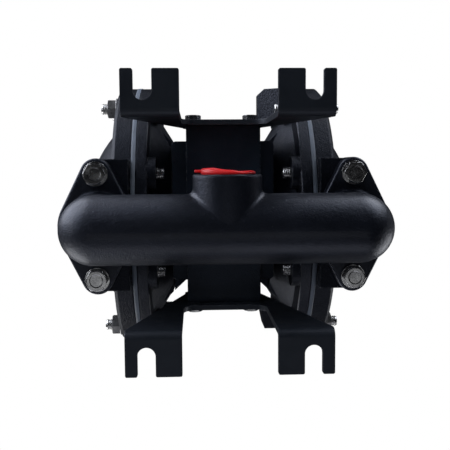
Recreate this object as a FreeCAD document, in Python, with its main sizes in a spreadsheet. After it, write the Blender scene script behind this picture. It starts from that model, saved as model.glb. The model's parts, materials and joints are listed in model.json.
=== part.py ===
import FreeCAD, Part
import math
import os

import Sketcher
from FreeCAD import Placement, Rotation, Vector

# Air operated double diaphragm pump, 1 inch ports.
# Frame: +Z up, X along the diaphragm shaft, front (port side) at -Y.
# Origin: centre of the footprint, on the plane the four feet stand on.

doc = FreeCAD.newDocument("DiaphragmPump")

# ---------------------------------------------------------------- dimensions
sheet = doc.addObject("Spreadsheet::Sheet", "Dims")
DIMS = [
    # chamber discs
    ("chamber_z", "165", "height of the shaft axis"),
    ("chamber_r", "101", "outer radius of the clamped flanges"),
    ("clamp_in", "60.5", "air cap flange face"),
    ("clamp_out", "63.5", "fluid cap flange face"),
    ("air_flange_back", "52.5", "back of the air cap flange"),
    ("fluid_flange_face", "77", "outer face of the fluid cap flange"),
    ("rim_chamfer", "0.6", "chamfer of the clamped rims"),
    ("chamber_bolt_r", "89.5", "radius of the chamber bolt circle"),
    ("chamber_hole_r", "4.5", "clearance hole of the chamber studs"),
    ("stud_hole_r", "4.06", "tapped hole of the chamber studs in the air caps"),
    ("bolt_boss_r", "11.4", "boss round each chamber stud"),
    ("bolt_boss_x", "46.7", "face of the chamber stud bosses"),
    ("hub_x", "37.5", "air cap face towards the centre section"),
    ("hub_r", "60", "air cap hub radius"),
    ("shaft_hole_r", "10", "shaft opening in the air cap"),
    # fluid dome
    ("dome_r", "99", "outer radius of the fluid dome"),
    ("dome_cx", "8.9", "X of the dome centre"),
    ("dome_wall", "6", "dome wall"),
    # diaphragm
    ("diaphragm_r", "101.3", "edge radius of the diaphragm"),
    ("diaphragm_lift", "4", "offset of the plate seat from the clamp"),
    ("plate_r", "48", "diaphragm plate radius"),
    ("inner_plate_back", "60", "back face of the inner plate"),
    ("outer_plate_face", "73", "front face of the outer plate"),
    # shaft
    ("shaft_r", "8", "diaphragm shaft radius"),
    ("shaft_end_r", "6", "radius of the shaft ends"),
    ("shaft_end_x", "86", "half length of the shaft"),
    ("bush_r", "11", "shaft bush outer radius"),
    ("run_gap", "0.05", "radial clearance of the running fits"),
    # pilot rod
    ("pilot_y", "-22", "pilot rod offset"),
    ("pilot_dz", "22", "pilot rod height over the shaft"),
    ("pilot_r", "3", "pilot rod radius"),
    ("pilot_half", "55", "pilot rod half length"),
    # valves
    ("valve_x", "84.5", "X of the valve axes"),
    ("joint_low", "62", "lower manifold joint plane"),
    ("joint_high", "268", "upper manifold joint plane"),
    ("flange_t", "10", "thickness of the oval flanges"),
    ("flange_mid_r", "25.5", "middle radius of the oval flange"),
    ("ear_r", "10.2", "ear radius of the oval flange"),
    ("ear_y", "34.5", "offset of the flange bolts"),
    ("seat_r", "18", "valve seat outer radius"),
    ("seat_h", "6", "valve seat height"),
    ("seat_bore_r", "9", "valve seat bore radius"),
    ("ball_r", "14", "check ball radius"),
    ("ball_lift", "6.9", "ball centre over the seat's top face"),
    ("ball_travel", "9", "check ball travel"),
    ("cage_r", "16.3", "ball chamber radius"),
    # manifold
    ("tube_z", "28", "lower manifold tube centreline"),
    ("tube_r", "22", "manifold tube radius"),
    ("tube_bore_r", "16", "manifold tube bore"),
    ("elbow_x", "82.5", "X of the ball elbows"),
    ("neck_wall_r", "21.2", "fluid cap neck radius"),
    ("neck_r", "21.5", "centre tee neck radius"),
    ("neck_y", "34", "neck face distance from the tube axis"),
    ("port_r", "15.15", "port wall radius (1 inch pipe thread core)"),
    ("port_depth", "17.5", "port depth"),
    ("mouth_r", "16.9", "plain mouth of the port, in front of the thread"),
    ("mouth_depth", "4.4", "depth of that mouth"),
    # centre section
    ("body_x", "36.5", "half width of the centre casting"),
    ("body_front", "57", "front face of the centre casting"),
    ("body_back", "42.5", "back face of the centre casting"),
    ("body_low", "95", "underside of the centre casting"),
    ("body_high", "235", "top of the centre casting"),
    ("spine_x", "26", "half width of the bracket spine"),
    ("spine_front", "67.5", "front face of the spine"),
    ("spine_back", "57.5", "back face of the spine"),
    ("spine_low", "85", "underside of the spine"),
    ("spine_high", "245", "top of the spine"),
    # brackets
    ("sheet_t", "3.5", "bracket sheet thickness"),
    ("foot_in_x", "28.5", "inner edge of the feet"),
    ("foot_out_x", "62.3", "outer edge of the feet"),
    ("foot_len", "27.3", "foot length from the spine face"),
    ("slot_x", "49.6", "slot centre"),
    ("slot_r", "5.4", "half the slot width"),
    ("slot_depth", "17.8", "slot depth from the foot's free edge"),
    ("web_low", "75", "lower edge of the bracket web"),
    ("web_high", "130", "top edge of the bracket web"),
    ("leg_top_z", "119", "height where the leg edge turns upright"),
    ("bracket_bolt_x", "21", "bracket bolt offset"),
    ("bracket_bolt_z", "110", "bracket bolt height"),
    # air valve
    ("block_x", "24", "half width of the valve block"),
    ("block_front", "58.5", "valve block joint face"),
    ("block_back", "80", "valve block outer face"),
    ("block_low", "166", "valve block underside"),
    ("block_high", "244", "valve block top"),
    ("spool_y", "69.5", "spool axis Y"),
    ("spool_z", "186", "spool axis height"),
    ("spool_r", "7", "spool land radius"),
    ("sleeve_r", "9.5", "sleeve outer radius"),
    ("inlet_z", "225", "air inlet height"),
    ("air_port_r", "5.72", "air port wall radius (1/4 inch pipe thread core)"),
    # small parts
    ("silencer_z", "205", "exhaust breather height"),
    ("plate_z", "160", "blank plate height"),
]
sheet.set("A1", "name")
sheet.set("B1", "value")
sheet.set("C1", "what it is")
for row, (alias, number, note) in enumerate(DIMS, start=2):
    sheet.set("A%d" % row, alias)
    sheet.set("B%d" % row, number)
    sheet.set("C%d" % row, note)
    sheet.setAlias("B%d" % row, alias)
doc.recompute()


class Size:
    """A length that carries its spreadsheet expression with its value."""

    def __init__(self, text, value):
        self.text = text
        self.value = value

    def _with(self, other, sign, value, swap=False):
        text = other.text if isinstance(other, Size) else repr(float(other))
        a, b = (text, self.text) if swap else (self.text, text)
        return Size("(%s %s %s)" % (a, sign, b), value)

    def __add__(self, o):
        return self._with(o, "+", self.value + num(o))

    def __radd__(self, o):
        return self._with(o, "+", self.value + num(o), True)

    def __sub__(self, o):
        return self._with(o, "-", self.value - num(o))

    def __rsub__(self, o):
        return self._with(o, "-", num(o) - self.value, True)

    def __mul__(self, o):
        return self._with(o, "*", self.value * num(o))

    def __rmul__(self, o):
        return self._with(o, "*", self.value * num(o), True)

    def __neg__(self):
        return Size("(0 - %s)" % self.text, -self.value)


def num(v):
    return v.value if isinstance(v, Size) else float(v)


class Sheet:
    pass


D = Sheet()
for alias, number, note in DIMS:
    setattr(D, alias, Size("Dims.%s" % alias, float(sheet.get(alias))))

# ------------------------------------------------------------------- helpers
TO_X = Rotation(Vector(0, 1, 0), 90)      # local Z along +X
TO_MX = Rotation(Vector(0, 1, 0), -90)    # local Z along -X
TO_Y = Rotation(Vector(1, 0, 0), -90)     # local Z along +Y
TO_MY = Rotation(Vector(1, 0, 0), 90)     # local Z along -Y
TO_MZ = Rotation(Vector(1, 0, 0), 180)    # local Z along -Z
UP = Rotation()
TURN = Rotation(Vector(0, 0, 1), 180)

_count = [0]


def fresh(word):
    _count[0] += 1
    return "%s_%03d" % (word, _count[0])


def bind(obj, prop, v):
    if isinstance(v, Size):
        obj.setExpression(prop, v.text)
    else:
        setattr(obj, prop, v)


def place(obj, x=0, y=0, z=0, rot=UP):
    obj.Placement = Placement(Vector(num(x), num(y), num(z)), rot)
    for letter, v in (("x", x), ("y", y), ("z", z)):
        if isinstance(v, Size):
            obj.setExpression("Placement.Base." + letter, v.text)
    return obj


def cyl(r, h, x=0, y=0, z=0, rot=UP):
    o = doc.addObject("Part::Cylinder", fresh("Cylinder"))
    bind(o, "Radius", r)
    bind(o, "Height", h)
    return place(o, x, y, z, rot)


def cone(r1, r2, h, x=0, y=0, z=0, rot=UP):
    o = doc.addObject("Part::Cone", fresh("Cone"))
    bind(o, "Radius1", r1)
    bind(o, "Radius2", r2)
    bind(o, "Height", h)
    return place(o, x, y, z, rot)


def ball(r, x=0, y=0, z=0):
    o = doc.addObject("Part::Sphere", fresh("Sphere"))
    bind(o, "Radius", r)
    return place(o, x, y, z)


def ring(r1, r2, x=0, y=0, z=0, rot=UP):
    o = doc.addObject("Part::Torus", fresh("Torus"))
    bind(o, "Radius1", r1)
    bind(o, "Radius2", r2)
    return place(o, x, y, z, rot)


def box(x0, x1, y0, y1, z0, z1):
    o = doc.addObject("Part::Box", fresh("Box"))
    bind(o, "Length", x1 - x0)
    bind(o, "Width", y1 - y0)
    bind(o, "Height", z1 - z0)
    return place(o, x0, y0, z0)


def hexagon(across_flats, h, x=0, y=0, z=0, rot=UP):
    o = doc.addObject("Part::Prism", fresh("Hex"))
    o.Polygon = 6
    o.Circumradius = across_flats / math.sqrt(3)
    bind(o, "Height", h)
    return place(o, x, y, z, rot)


def fuse(*parts, label=None):
    o = doc.addObject("Part::MultiFuse", fresh("Fusion"))
    o.Shapes = list(parts)
    o.Refine = True
    if label:
        o.Label = label
    return o


def cut(base, *tools, label=None):
    o = doc.addObject("Part::Cut", fresh("Cut"))
    o.Base = base
    if len(tools) == 1:
        o.Tool = tools[0]
    else:
        t = doc.addObject("Part::MultiFuse", fresh("Tools"))
        t.Shapes = list(tools)
        t.Refine = False
        o.Tool = t
    o.Refine = True
    if label:
        o.Label = label
    return o


def common(a, b, label=None):
    o = doc.addObject("Part::MultiCommon", fresh("Common"))
    o.Shapes = [a, b]
    if label:
        o.Label = label
    return o


def group(*parts, label=None):
    o = doc.addObject("Part::Compound", fresh("Group"))
    o.Links = list(parts)
    if label:
        o.Label = label
    return o


def curve(e):
    """The edge's curve, or None where it has no simple one."""
    try:
        return e.Curve
    except TypeError:
        return None


def is_arc(e, radius=None):
    c = curve(e)
    return isinstance(c, Part.Circle) and (radius is None or abs(c.Radius - radius) < 0.01)


def plane_of(body, role):
    for f in body.Origin.OriginFeatures:
        if f.Role == role:
            return f


def polygon_sketch(owner, points, role=None):
    """A closed outline whose corners are held to the sheet's sizes."""
    if owner is None:
        sk = doc.addObject("Sketcher::SketchObject", fresh("Sketch"))
    else:
        sk = owner.newObject("Sketcher::SketchObject", fresh("Sketch"))
        sk.AttachmentSupport = (plane_of(owner, role), [""])
        sk.MapMode = "FlatFace"
    n = len(points)
    flat = [(num(u), num(v)) for u, v in points]
    for i in range(n):
        a, b = flat[i], flat[(i + 1) % n]
        sk.addGeometry(Part.LineSegment(Vector(a[0], a[1], 0), Vector(b[0], b[1], 0)), False)
    for i in range(n):
        sk.addConstraint(Sketcher.Constraint("Coincident", i, 2, (i + 1) % n, 1))
    for i, (u, v) in enumerate(points):
        for kind, axis, value in (("DistanceX", -2, u), ("DistanceY", -1, v)):
            if abs(num(value)) < 1e-9:
                sk.addConstraint(Sketcher.Constraint("PointOnObject", i, 1, axis))
                continue
            c = sk.addConstraint(Sketcher.Constraint(kind, -1, 1, i, 1, num(value)))
            if isinstance(value, Size):
                sk.setExpression("Constraints[%d]" % c, value.text)
    return sk


def circle_sketch(owner, circles, role):
    sk = owner.newObject("Sketcher::SketchObject", fresh("Sketch"))
    sk.AttachmentSupport = (plane_of(owner, role), [""])
    sk.MapMode = "FlatFace"
    for i, (u, v, r) in enumerate(circles):
        sk.addGeometry(Part.Circle(Vector(num(u), num(v), 0), Vector(0, 0, 1), num(r)), False)
        for kind, axis, value in (("DistanceX", -2, u), ("DistanceY", -1, v)):
            if abs(num(value)) < 1e-9:
                sk.addConstraint(Sketcher.Constraint("PointOnObject", i, 3, axis))
                continue
            c = sk.addConstraint(Sketcher.Constraint(kind, -1, 1, i, 3, num(value)))
            if isinstance(value, Size):
                sk.setExpression("Constraints[%d]" % c, value.text)
        c = sk.addConstraint(Sketcher.Constraint("Radius", i, num(r)))
        if isinstance(r, Size):
            sk.setExpression("Constraints[%d]" % c, r.text)
    return sk


def turned(points, x=0, y=0, z=0, rot=UP, label=None):
    """A body of revolution: points are (radius, height along its own axis)."""
    b = doc.addObject("PartDesign::Body", fresh("Body"))
    sk = polygon_sketch(b, points, "XZ_Plane")
    rev = b.newObject("PartDesign::Revolution", fresh("Revolution"))
    rev.Profile = sk
    rev.ReferenceAxis = (sk, ["V_Axis"])
    rev.Angle = 360
    sk.Visibility = False
    b.Tip = rev
    if label:
        b.Label = label
    return place(b, x, y, z, rot)


def prism(points, role, length, x=0, y=0, z=0, rot=UP, label=None):
    """A padded outline on one of the body's own planes."""
    b = doc.addObject("PartDesign::Body", fresh("Body"))
    sk = polygon_sketch(b, points, role)
    pad = b.newObject("PartDesign::Pad", fresh("Pad"))
    pad.Profile = sk
    bind(pad, "Length", length)
    b.Tip = pad
    if label:
        b.Label = label
    return place(b, x, y, z, rot)


def fillet(base, radius, test, label=None):
    """Rounds the edges of base for which test(edge) holds."""
    doc.recompute()
    picks = [(i, radius, radius) for i, e in enumerate(base.Shape.Edges, 1) if test(e)]
    o = doc.addObject("Part::Fillet", fresh("Fillet"))
    o.Base = base
    o.Edges = picks
    if label:
        o.Label = label
    doc.recompute()
    if not picks or o.Shape.isNull() or not o.Shape.isValid() or "Invalid" in o.State:
        print("fillet failed", radius, len(picks), label)
        doc.removeObject(o.Name)
        return base
    return o


def chamfer(base, size, test, label=None):
    doc.recompute()
    picks = [(i, size, size) for i, e in enumerate(base.Shape.Edges, 1) if test(e)]
    o = doc.addObject("Part::Chamfer", fresh("Chamfer"))
    o.Base = base
    o.Edges = picks
    if label:
        o.Label = label
    doc.recompute()
    if not picks or o.Shape.isNull() or not o.Shape.isValid() or "Invalid" in o.State:
        print("chamfer failed", size, len(picks), label)
        doc.removeObject(o.Name)
        return base
    return o


def copies(source, spots, label):
    """The same fastener at several places: one node of separate solids."""
    doc.recompute()
    solids = []
    for pos, rot in spots:
        s = source.Shape.copy()
        s.Placement = Placement(pos, rot)
        solids.extend(s.Solids)
    o = doc.addObject("Part::Feature", fresh("Copies"))
    o.Shape = Part.makeCompound(solids)
    o.Label = label
    return o


NODES = {}


def node(name, obj):
    obj.Label = name
    NODES[name] = obj
    return obj


# ------------------------------------------------------------ oval flange
def oval(z0, h, cx):
    """A two bolt oval flange: a round middle, two ears and straight flanks."""
    R, e, r = D.flange_mid_r.value, D.ear_y.value, D.ear_r.value
    s = (R - r) / e                     # sine of the flank's lean
    c = math.sqrt(1 - s * s)
    sk = doc.addObject("Sketcher::SketchObject", fresh("Sketch"))
    a = math.asin(s)
    # tangent points on the right flank, upper half
    mid_t = (R * c, R * s)
    ear_t = (r * c, e + r * s)
    line = lambda p, q: sk.addGeometry(Part.LineSegment(Vector(p[0], p[1], 0), Vector(q[0], q[1], 0)), False)
    arc = lambda cy, rr, a0, a1: sk.addGeometry(
        Part.ArcOfCircle(Part.Circle(Vector(0, cy, 0), Vector(0, 0, 1), rr), a0, a1), False)
    g = [
        arc(0, R, -a, a),                              # 0 right middle
        line(mid_t, ear_t),                            # 1
        arc(e, r, a, math.pi - a),                     # 2 upper ear
        line((-ear_t[0], ear_t[1]), (-mid_t[0], mid_t[1])),   # 3
        arc(0, R, math.pi - a, math.pi + a),           # 4 left middle
        line((-mid_t[0], -mid_t[1]), (-ear_t[0], -ear_t[1])),  # 5
        arc(-e, r, math.pi + a, 2 * math.pi - a),      # 6 lower ear
        line((ear_t[0], -ear_t[1]), (mid_t[0], -mid_t[1])),   # 7
    ]
    for i in range(8):
        sk.addConstraint(Sketcher.Constraint("Tangent", g[i], 2, g[(i + 1) % 8], 1))
    for i in (0, 4):
        sk.addConstraint(Sketcher.Constraint("Coincident", g[i], 3, -1, 1))
    k = sk.addConstraint(Sketcher.Constraint("Radius", g[0], R))
    sk.setExpression("Constraints[%d]" % k, D.flange_mid_r.text)
    for i, y in ((2, e), (6, -e)):
        sk.addConstraint(Sketcher.Constraint("PointOnObject", g[i], 3, -2))
        k = sk.addConstraint(Sketcher.Constraint("DistanceY", -1, 1, g[i], 3, y))
        sk.setExpression("Constraints[%d]" % k, D.ear_y.text if y > 0 else "0 - " + D.ear_y.text)
        k = sk.addConstraint(Sketcher.Constraint("Radius", g[i], r))
        sk.setExpression("Constraints[%d]" % k, D.ear_r.text)
    ex = doc.addObject("Part::Extrusion", fresh("Oval"))
    ex.Base = sk
    ex.DirMode = "Normal"
    ex.Solid = True
    bind(ex, "LengthFwd", h)
    place(sk, cx, 0, z0)
    return ex


# --------------------------------------------------------------- manifolds
def manifold_casting(bolt_r):
    """Tube with two ball elbows, legs up to oval flanges and a centre neck."""
    tube = cyl(D.tube_r, D.elbow_x * 2, -D.elbow_x, 0, D.tube_z, TO_X)
    parts = [tube]
    for sx in (-1, 1):
        parts.append(ball(D.tube_r, D.elbow_x * sx, 0, D.tube_z))
        parts.append(cyl(D.tube_r, D.joint_low - D.tube_z, D.elbow_x * sx, 0, D.tube_z))
        parts.append(oval(D.joint_low - D.flange_t, D.flange_t, D.valve_x * sx))
        parts.append(cone(D.tube_r, D.tube_r + 1.2, 2.6, D.elbow_x * sx, 0, D.joint_low - D.flange_t - 2.6))
    parts.append(cyl(D.neck_r, D.neck_y, 0, 0, D.tube_z, TO_MY))
    body = fuse(*parts)

    def neck_edge(e):
        b = e.BoundBox
        return (abs(b.Center.x) < 2 and b.XLength > 38 and b.YMin < -3 and b.YMax < 3
                and b.YMin > -30 and b.ZLength > 30)

    body = fillet(body, 3.6, neck_edge)

    def flange_rim(e):
        b = e.BoundBox
        return (b.ZLength < 0.01 and abs(b.ZMin - (D.joint_low.value - D.flange_t.value)) < 0.01
                and not (is_arc(e) and abs(curve(e).Radius - D.tube_r.value) < 3.0))

    body = fillet(body, 1.2, flange_rim)

    def neck_rim(e):
        b = e.BoundBox
        return b.YLength < 0.01 and abs(b.YMin + D.neck_y.value) < 0.01

    body = chamfer(body, 0.8, neck_rim)
    tools = [cyl(D.tube_bore_r, D.elbow_x * 2, -D.elbow_x, 0, D.tube_z, TO_X),
             cyl(D.port_r, D.port_depth + 1, 0, -D.neck_y - 1, D.tube_z, TO_Y),
             cyl(D.port_r - 1.5, D.neck_y, 0, 0, D.tube_z, TO_MY),
             cyl(D.mouth_r, D.mouth_depth + 1, 0, -D.neck_y - 1, D.tube_z, TO_Y),
             cone(D.mouth_r, D.mouth_r + 0.8, 0.8, 0, -D.neck_y + 0.8, D.tube_z, TO_MY)]
    for sx in (-1, 1):
        tools.append(ball(D.tube_bore_r, D.elbow_x * sx, 0, D.tube_z))
        tools.append(cyl(D.cage_r, D.joint_low - D.tube_z + 1, D.valve_x * sx, 0, D.tube_z))
        for sy in (-1, 1):
            tools.append(cyl(bolt_r, D.flange_t + 4, D.valve_x * sx, D.ear_y * sy,
                             D.joint_low - D.flange_t - 2))
    return cut(body, *tools)


lower = manifold_casting(4.5)
node("lower_manifold", lower)

# The upper manifold is the same casting turned over, with three ribs in each
# elbow that stop the ball and a counterbore for the valve seat.
over = manifold_casting(4.5)
ribs = []
stop = D.tube_z - (D.joint_high + D.seat_h + D.ball_lift + D.ball_travel + 10.6
                   - (D.chamber_z * 2 - D.tube_z))     # rib face, before turning
for sx in (-1, 1):
    for sy in (-1, 1):
        ribs.append(box(D.valve_x * sx - 1.5, D.valve_x * sx + 1.5,
                        9.6 if sy > 0 else -17.2, 17.2 if sy > 0 else -9.6,
                        stop - 7, stop))
    x0 = D.valve_x * sx + (9.6 if sx > 0 else -17.0)
    ribs.append(box(x0, x0 + 7.4, -1.5, 1.5, stop - 7, stop))
over = fuse(over, *ribs)
over = cut(over, *[cyl(D.seat_r + 0.05, D.seat_h + 1, D.valve_x * sx, 0, D.joint_low - D.seat_h)
                   for sx in (-1, 1)])
upper = group(over)
place(upper, 0, 0, D.chamber_z * 2, Rotation(Vector(0, 1, 0), 180))
node("upper_manifold", upper)


# --------------------------------------------------------------- fluid caps
def dome_body(c):
    """Clamp flange and spherical dome in one turned outline, blended by an arc."""
    b = doc.addObject("PartDesign::Body", fresh("Body"))
    sk = b.newObject("Sketcher::SketchObject", fresh("Sketch"))
    sk.AttachmentSupport = (plane_of(b, "XZ_Plane"), [""])
    sk.MapMode = "FlatFace"
    f, R, v0 = 6.0, D.dome_r.value, D.dome_cx.value
    face = D.fluid_flange_face.value
    rc = math.sqrt((R + f) ** 2 - (face + f - v0) ** 2)
    t = (rc * R / (R + f), v0 + (face + f - v0) * R / (R + f))
    corners = [(0, D.clamp_out), (D.chamber_r - c, D.clamp_out), (D.chamber_r, D.clamp_out + c),
               (D.chamber_r, D.fluid_flange_face - 2.2), (D.chamber_r - 2.2, D.fluid_flange_face)]
    flat = [(num(u), num(v)) for u, v in corners] + [(rc, face)]
    for i in range(5):
        sk.addGeometry(Part.LineSegment(Vector(flat[i][0], flat[i][1], 0),
                                        Vector(flat[i + 1][0], flat[i + 1][1], 0)), False)
    a = math.atan2(v0 - (face + f), -rc)
    sk.addGeometry(Part.ArcOfCircle(Part.Circle(Vector(rc, face + f, 0), Vector(0, 0, 1), f),
                                    a, -math.pi / 2), False)
    sk.addGeometry(Part.ArcOfCircle(Part.Circle(Vector(0, v0, 0), Vector(0, 0, 1), R),
                                    math.atan2(t[1] - v0, t[0]), math.pi / 2), False)
    sk.addGeometry(Part.LineSegment(Vector(0, v0 + R, 0), Vector(0, flat[0][1], 0)), False)
    add = sk.addConstraint
    for i in range(4):
        add(Sketcher.Constraint("Coincident", i, 2, i + 1, 1))
    add(Sketcher.Constraint("Tangent", 4, 2, 5, 2))
    add(Sketcher.Constraint("Tangent", 5, 1, 6, 1))
    add(Sketcher.Constraint("Coincident", 6, 2, 7, 1))
    add(Sketcher.Constraint("Coincident", 7, 2, 0, 1))
    for i, (u, v) in enumerate(corners):
        if abs(num(u)) < 1e-9:
            add(Sketcher.Constraint("PointOnObject", i, 1, -2))
        else:
            k = add(Sketcher.Constraint("DistanceX", -1, 1, i, 1, num(u)))
            sk.setExpression("Constraints[%d]" % k, u.text)
        k = add(Sketcher.Constraint("DistanceY", -1, 1, i, 1, num(v)))
        sk.setExpression("Constraints[%d]" % k, v.text)
    add(Sketcher.Constraint("Horizontal", 4))
    add(Sketcher.Constraint("Radius", 5, f))
    k = add(Sketcher.Constraint("Radius", 6, R))
    sk.setExpression("Constraints[%d]" % k, D.dome_r.text)
    add(Sketcher.Constraint("PointOnObject", 6, 3, -2))
    k = add(Sketcher.Constraint("DistanceY", -1, 1, 6, 3, v0))
    sk.setExpression("Constraints[%d]" % k, D.dome_cx.text)
    add(Sketcher.Constraint("PointOnObject", 7, 1, -2))
    rev = b.newObject("PartDesign::Revolution", fresh("Revolution"))
    rev.Profile = sk
    rev.ReferenceAxis = (sk, ["V_Axis"])
    rev.Angle = 360
    b.Tip = rev
    return b


def fluid_cap(sx):
    rot = TO_X if sx > 0 else TO_MX
    c = D.rim_chamfer
    shell = dome_body(c)
    place(shell, 0, 0, D.chamber_z, rot)
    x = D.valve_x * sx
    neck_low = cyl(D.neck_wall_r, D.chamber_z - D.joint_low - 30, x, 0, D.joint_low)
    neck_high = cyl(D.neck_wall_r, D.joint_high - D.chamber_z - 30, x, 0, D.chamber_z + 30)
    adds = [shell, neck_low, neck_high,
            oval(D.joint_low, D.flange_t, x), oval(D.joint_high - D.flange_t, D.flange_t, x)]
    x0 = 64.5 if sx > 0 else -D.valve_x
    x1 = D.valve_x if sx > 0 else -64.5
    adds.append(box(x0, x1, -D.ear_y - 9.7, D.ear_y + 9.7, D.joint_low, D.joint_low + 12))
    adds.append(box(x0, x1, -D.ear_y - 9.7, D.ear_y + 9.7, D.joint_high - 12, D.joint_high))
    body = fuse(*adds)
    # the cavity, the two ball chambers and the seat counterbore at the bottom
    tools = [ball(D.dome_r - D.dome_wall, D.dome_cx * sx, 0, D.chamber_z),
             cyl(D.cage_r, 80, x, 0, D.joint_low - 1),
             cyl(D.cage_r - 2.3, 80, x, 0, D.joint_high - 79),
             cyl(D.seat_r + 0.05, D.seat_h + 1, x, 0, D.joint_low - 1)]
    tools.append(box(D.clamp_out - 14, D.clamp_out, -60, 60, D.joint_low - 2, D.joint_high + 2))
    for k in range(8):
        a = math.radians(22.5 + 45 * k)
        tools.append(cyl(D.chamber_hole_r, 30, 58 if sx > 0 else -88, D.chamber_bolt_r * math.cos(a),
                         D.chamber_z + D.chamber_bolt_r * math.sin(a), TO_X))
    for sy in (-1, 1):
        tools.append(cyl(4.05, 13, x, D.ear_y * sy, D.joint_low - 1))
        tools.append(cyl(4.05, 13, x, D.ear_y * sy, D.joint_high - 12))
    body = cut(body, *tools)
    # three ribs above each lower valve stop the ball
    z = D.joint_low + D.seat_h + D.ball_lift + D.ball_travel + 10.6
    stops = []
    for sy in (-1, 1):
        stops.append(box(x - 1.5, x + 1.5, 9.6 if sy > 0 else -17.4, 17.4 if sy > 0 else -9.6, z, z + 6))
    xa = x + (9.6 if sx > 0 else -17.4)
    stops.append(box(xa, xa + 7.8, -1.5, 1.5, z, z + 6))
    return fuse(body, *stops)


node("right_fluid_cap", fluid_cap(1))
mirrored = doc.addObject("Part::Mirroring", fresh("Mirror"))
mirrored.Source = NODES["right_fluid_cap"]
mirrored.Base = Vector(0, 0, 0)
mirrored.Normal = Vector(1, 0, 0)
node("left_fluid_cap", mirrored)


# ----------------------------------------------------------------- air caps
def air_cap(sx):
    c = D.rim_chamfer
    b = doc.addObject("PartDesign::Body", fresh("Body"))
    sk = polygon_sketch(b, [
        (D.shaft_hole_r, D.hub_x), (D.hub_r, D.hub_x), (D.hub_r + 24, D.air_flange_back),
        (D.chamber_r - 0.7, D.air_flange_back), (D.chamber_r, D.air_flange_back + 0.7),
        (D.chamber_r, D.clamp_in - c), (D.chamber_r - c, D.clamp_in), (D.chamber_r - 22, D.clamp_in),
        (D.chamber_r - 25, D.clamp_in - 4.5), (D.hub_r - 2, D.hub_x + 5),
        (D.shaft_hole_r, D.hub_x + 5)], "XZ_Plane")
    rev = b.newObject("PartDesign::Revolution", fresh("Revolution"))
    rev.Profile = sk
    rev.ReferenceAxis = (sk, ["V_Axis"])
    rev.Angle = 360
    b.Tip = rev
    doc.recompute()
    # eight bolt bosses on the back of the flange
    ca, sa = math.cos(math.radians(22.5)), math.sin(math.radians(22.5))
    sk2 = circle_sketch(b, [(D.chamber_bolt_r * ca, D.chamber_bolt_r * sa, D.bolt_boss_r)], "XY_Plane")
    sk2.AttachmentOffset = Placement(Vector(0, 0, D.bolt_boss_x.value), Rotation())
    sk2.setExpression("AttachmentOffset.Base.z", D.bolt_boss_x.text)
    pad = b.newObject("PartDesign::Pad", fresh("Pad"))
    pad.Profile = sk2
    bind(pad, "Length", D.air_flange_back - D.bolt_boss_x + 1)
    b.Tip = pad
    doc.recompute()
    pat = b.newObject("PartDesign::PolarPattern", fresh("Pattern"))
    pat.Originals = [pad]
    pat.Axis = (sk, ["V_Axis"])
    pat.Angle = 360
    pat.Occurrences = 8
    b.Tip = pat
    doc.recompute()
    sk3 = circle_sketch(b, [(D.chamber_bolt_r * ca, D.chamber_bolt_r * sa, D.stud_hole_r)], "XY_Plane")
    pocket = b.newObject("PartDesign::Pocket", fresh("Pocket"))
    pocket.Profile = sk3
    pocket.Type = 1
    pocket.Midplane = True
    b.Tip = pocket
    doc.recompute()
    before = pat.Shape.Volume
    pat2 = b.newObject("PartDesign::PolarPattern", fresh("Pattern"))
    pat2.Originals = [pocket]
    pat2.Axis = (sk, ["V_Axis"])
    pat2.Angle = 360
    pat2.Occurrences = 8
    b.Tip = pat2
    doc.recompute()
    hole = math.pi * D.stud_hole_r.value ** 2 * (D.clamp_in.value - D.bolt_boss_x.value)
    gone = before - pat2.Shape.Volume
    if abs(gone - 8 * hole) > 40:
        print("air cap holes removed", gone, "expected", 8 * hole)
    place(b, 0, 0, D.chamber_z, TO_X if sx > 0 else TO_MX)
    adds = [b]
    # cast gussets from the hub to the bell, two at the front and two at the back
    for sy, reach in ((-1, 58.5), (1, 58.3)):
        pts = [(37.5, sy * 40), (37.5, sy * reach), (47, sy * (reach + 9.5)), (54, sy * (reach + 9.5)),
               (54, sy * 66), (44, sy * 40)]
        if sx < 0:
            pts = [(-u, v) for u, v in pts]
        adds.append(prism(pts, "XY_Plane", 60, 0, 0, D.chamber_z - 30))
    if sx > 0:
        # the lifting lugs of the right air cap, the front one with a slanted lower end
        lug = prism([(31, -76), (31, -96.3), (36, -100.8), (50, -100.6), (54, -97), (54, -78)],
                    "XY_Plane", 27, 0, 0, D.chamber_z - 20)
        adds.append(cut(lug, prism([(20, 139), (56, 139), (56, 143.6), (20, 168.4)], "XZ_Plane", 34, 0, -74, 0)))
        adds.append(prism([(32.4, 76), (54, 76), (54, 91.4), (34.8, 91.4), (32.4, 80)],
                          "XY_Plane", 27, 0, 0, D.chamber_z - 20))
    body = fuse(*adds)
    x0 = 30 if sx > 0 else -55
    tools = [cyl(D.pilot_r + 1.2, 25, x0, D.pilot_y, D.chamber_z + D.pilot_dz, TO_X),
             cyl(5, 25, x0, 30, 200, TO_X)]
    for y, z in ((40, 0), (-40, 0), (0, 40), (0, -40)):
        tools.append(cyl(3.3, 25, x0, y, D.chamber_z + z, TO_X))
        tools.append(cyl(5.7, 10, 42.5 if sx > 0 else -52.5, y, D.chamber_z + z, TO_X))
    return cut(body, *tools)


node("left_air_cap", air_cap(-1))
node("right_air_cap", air_cap(1))

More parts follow.
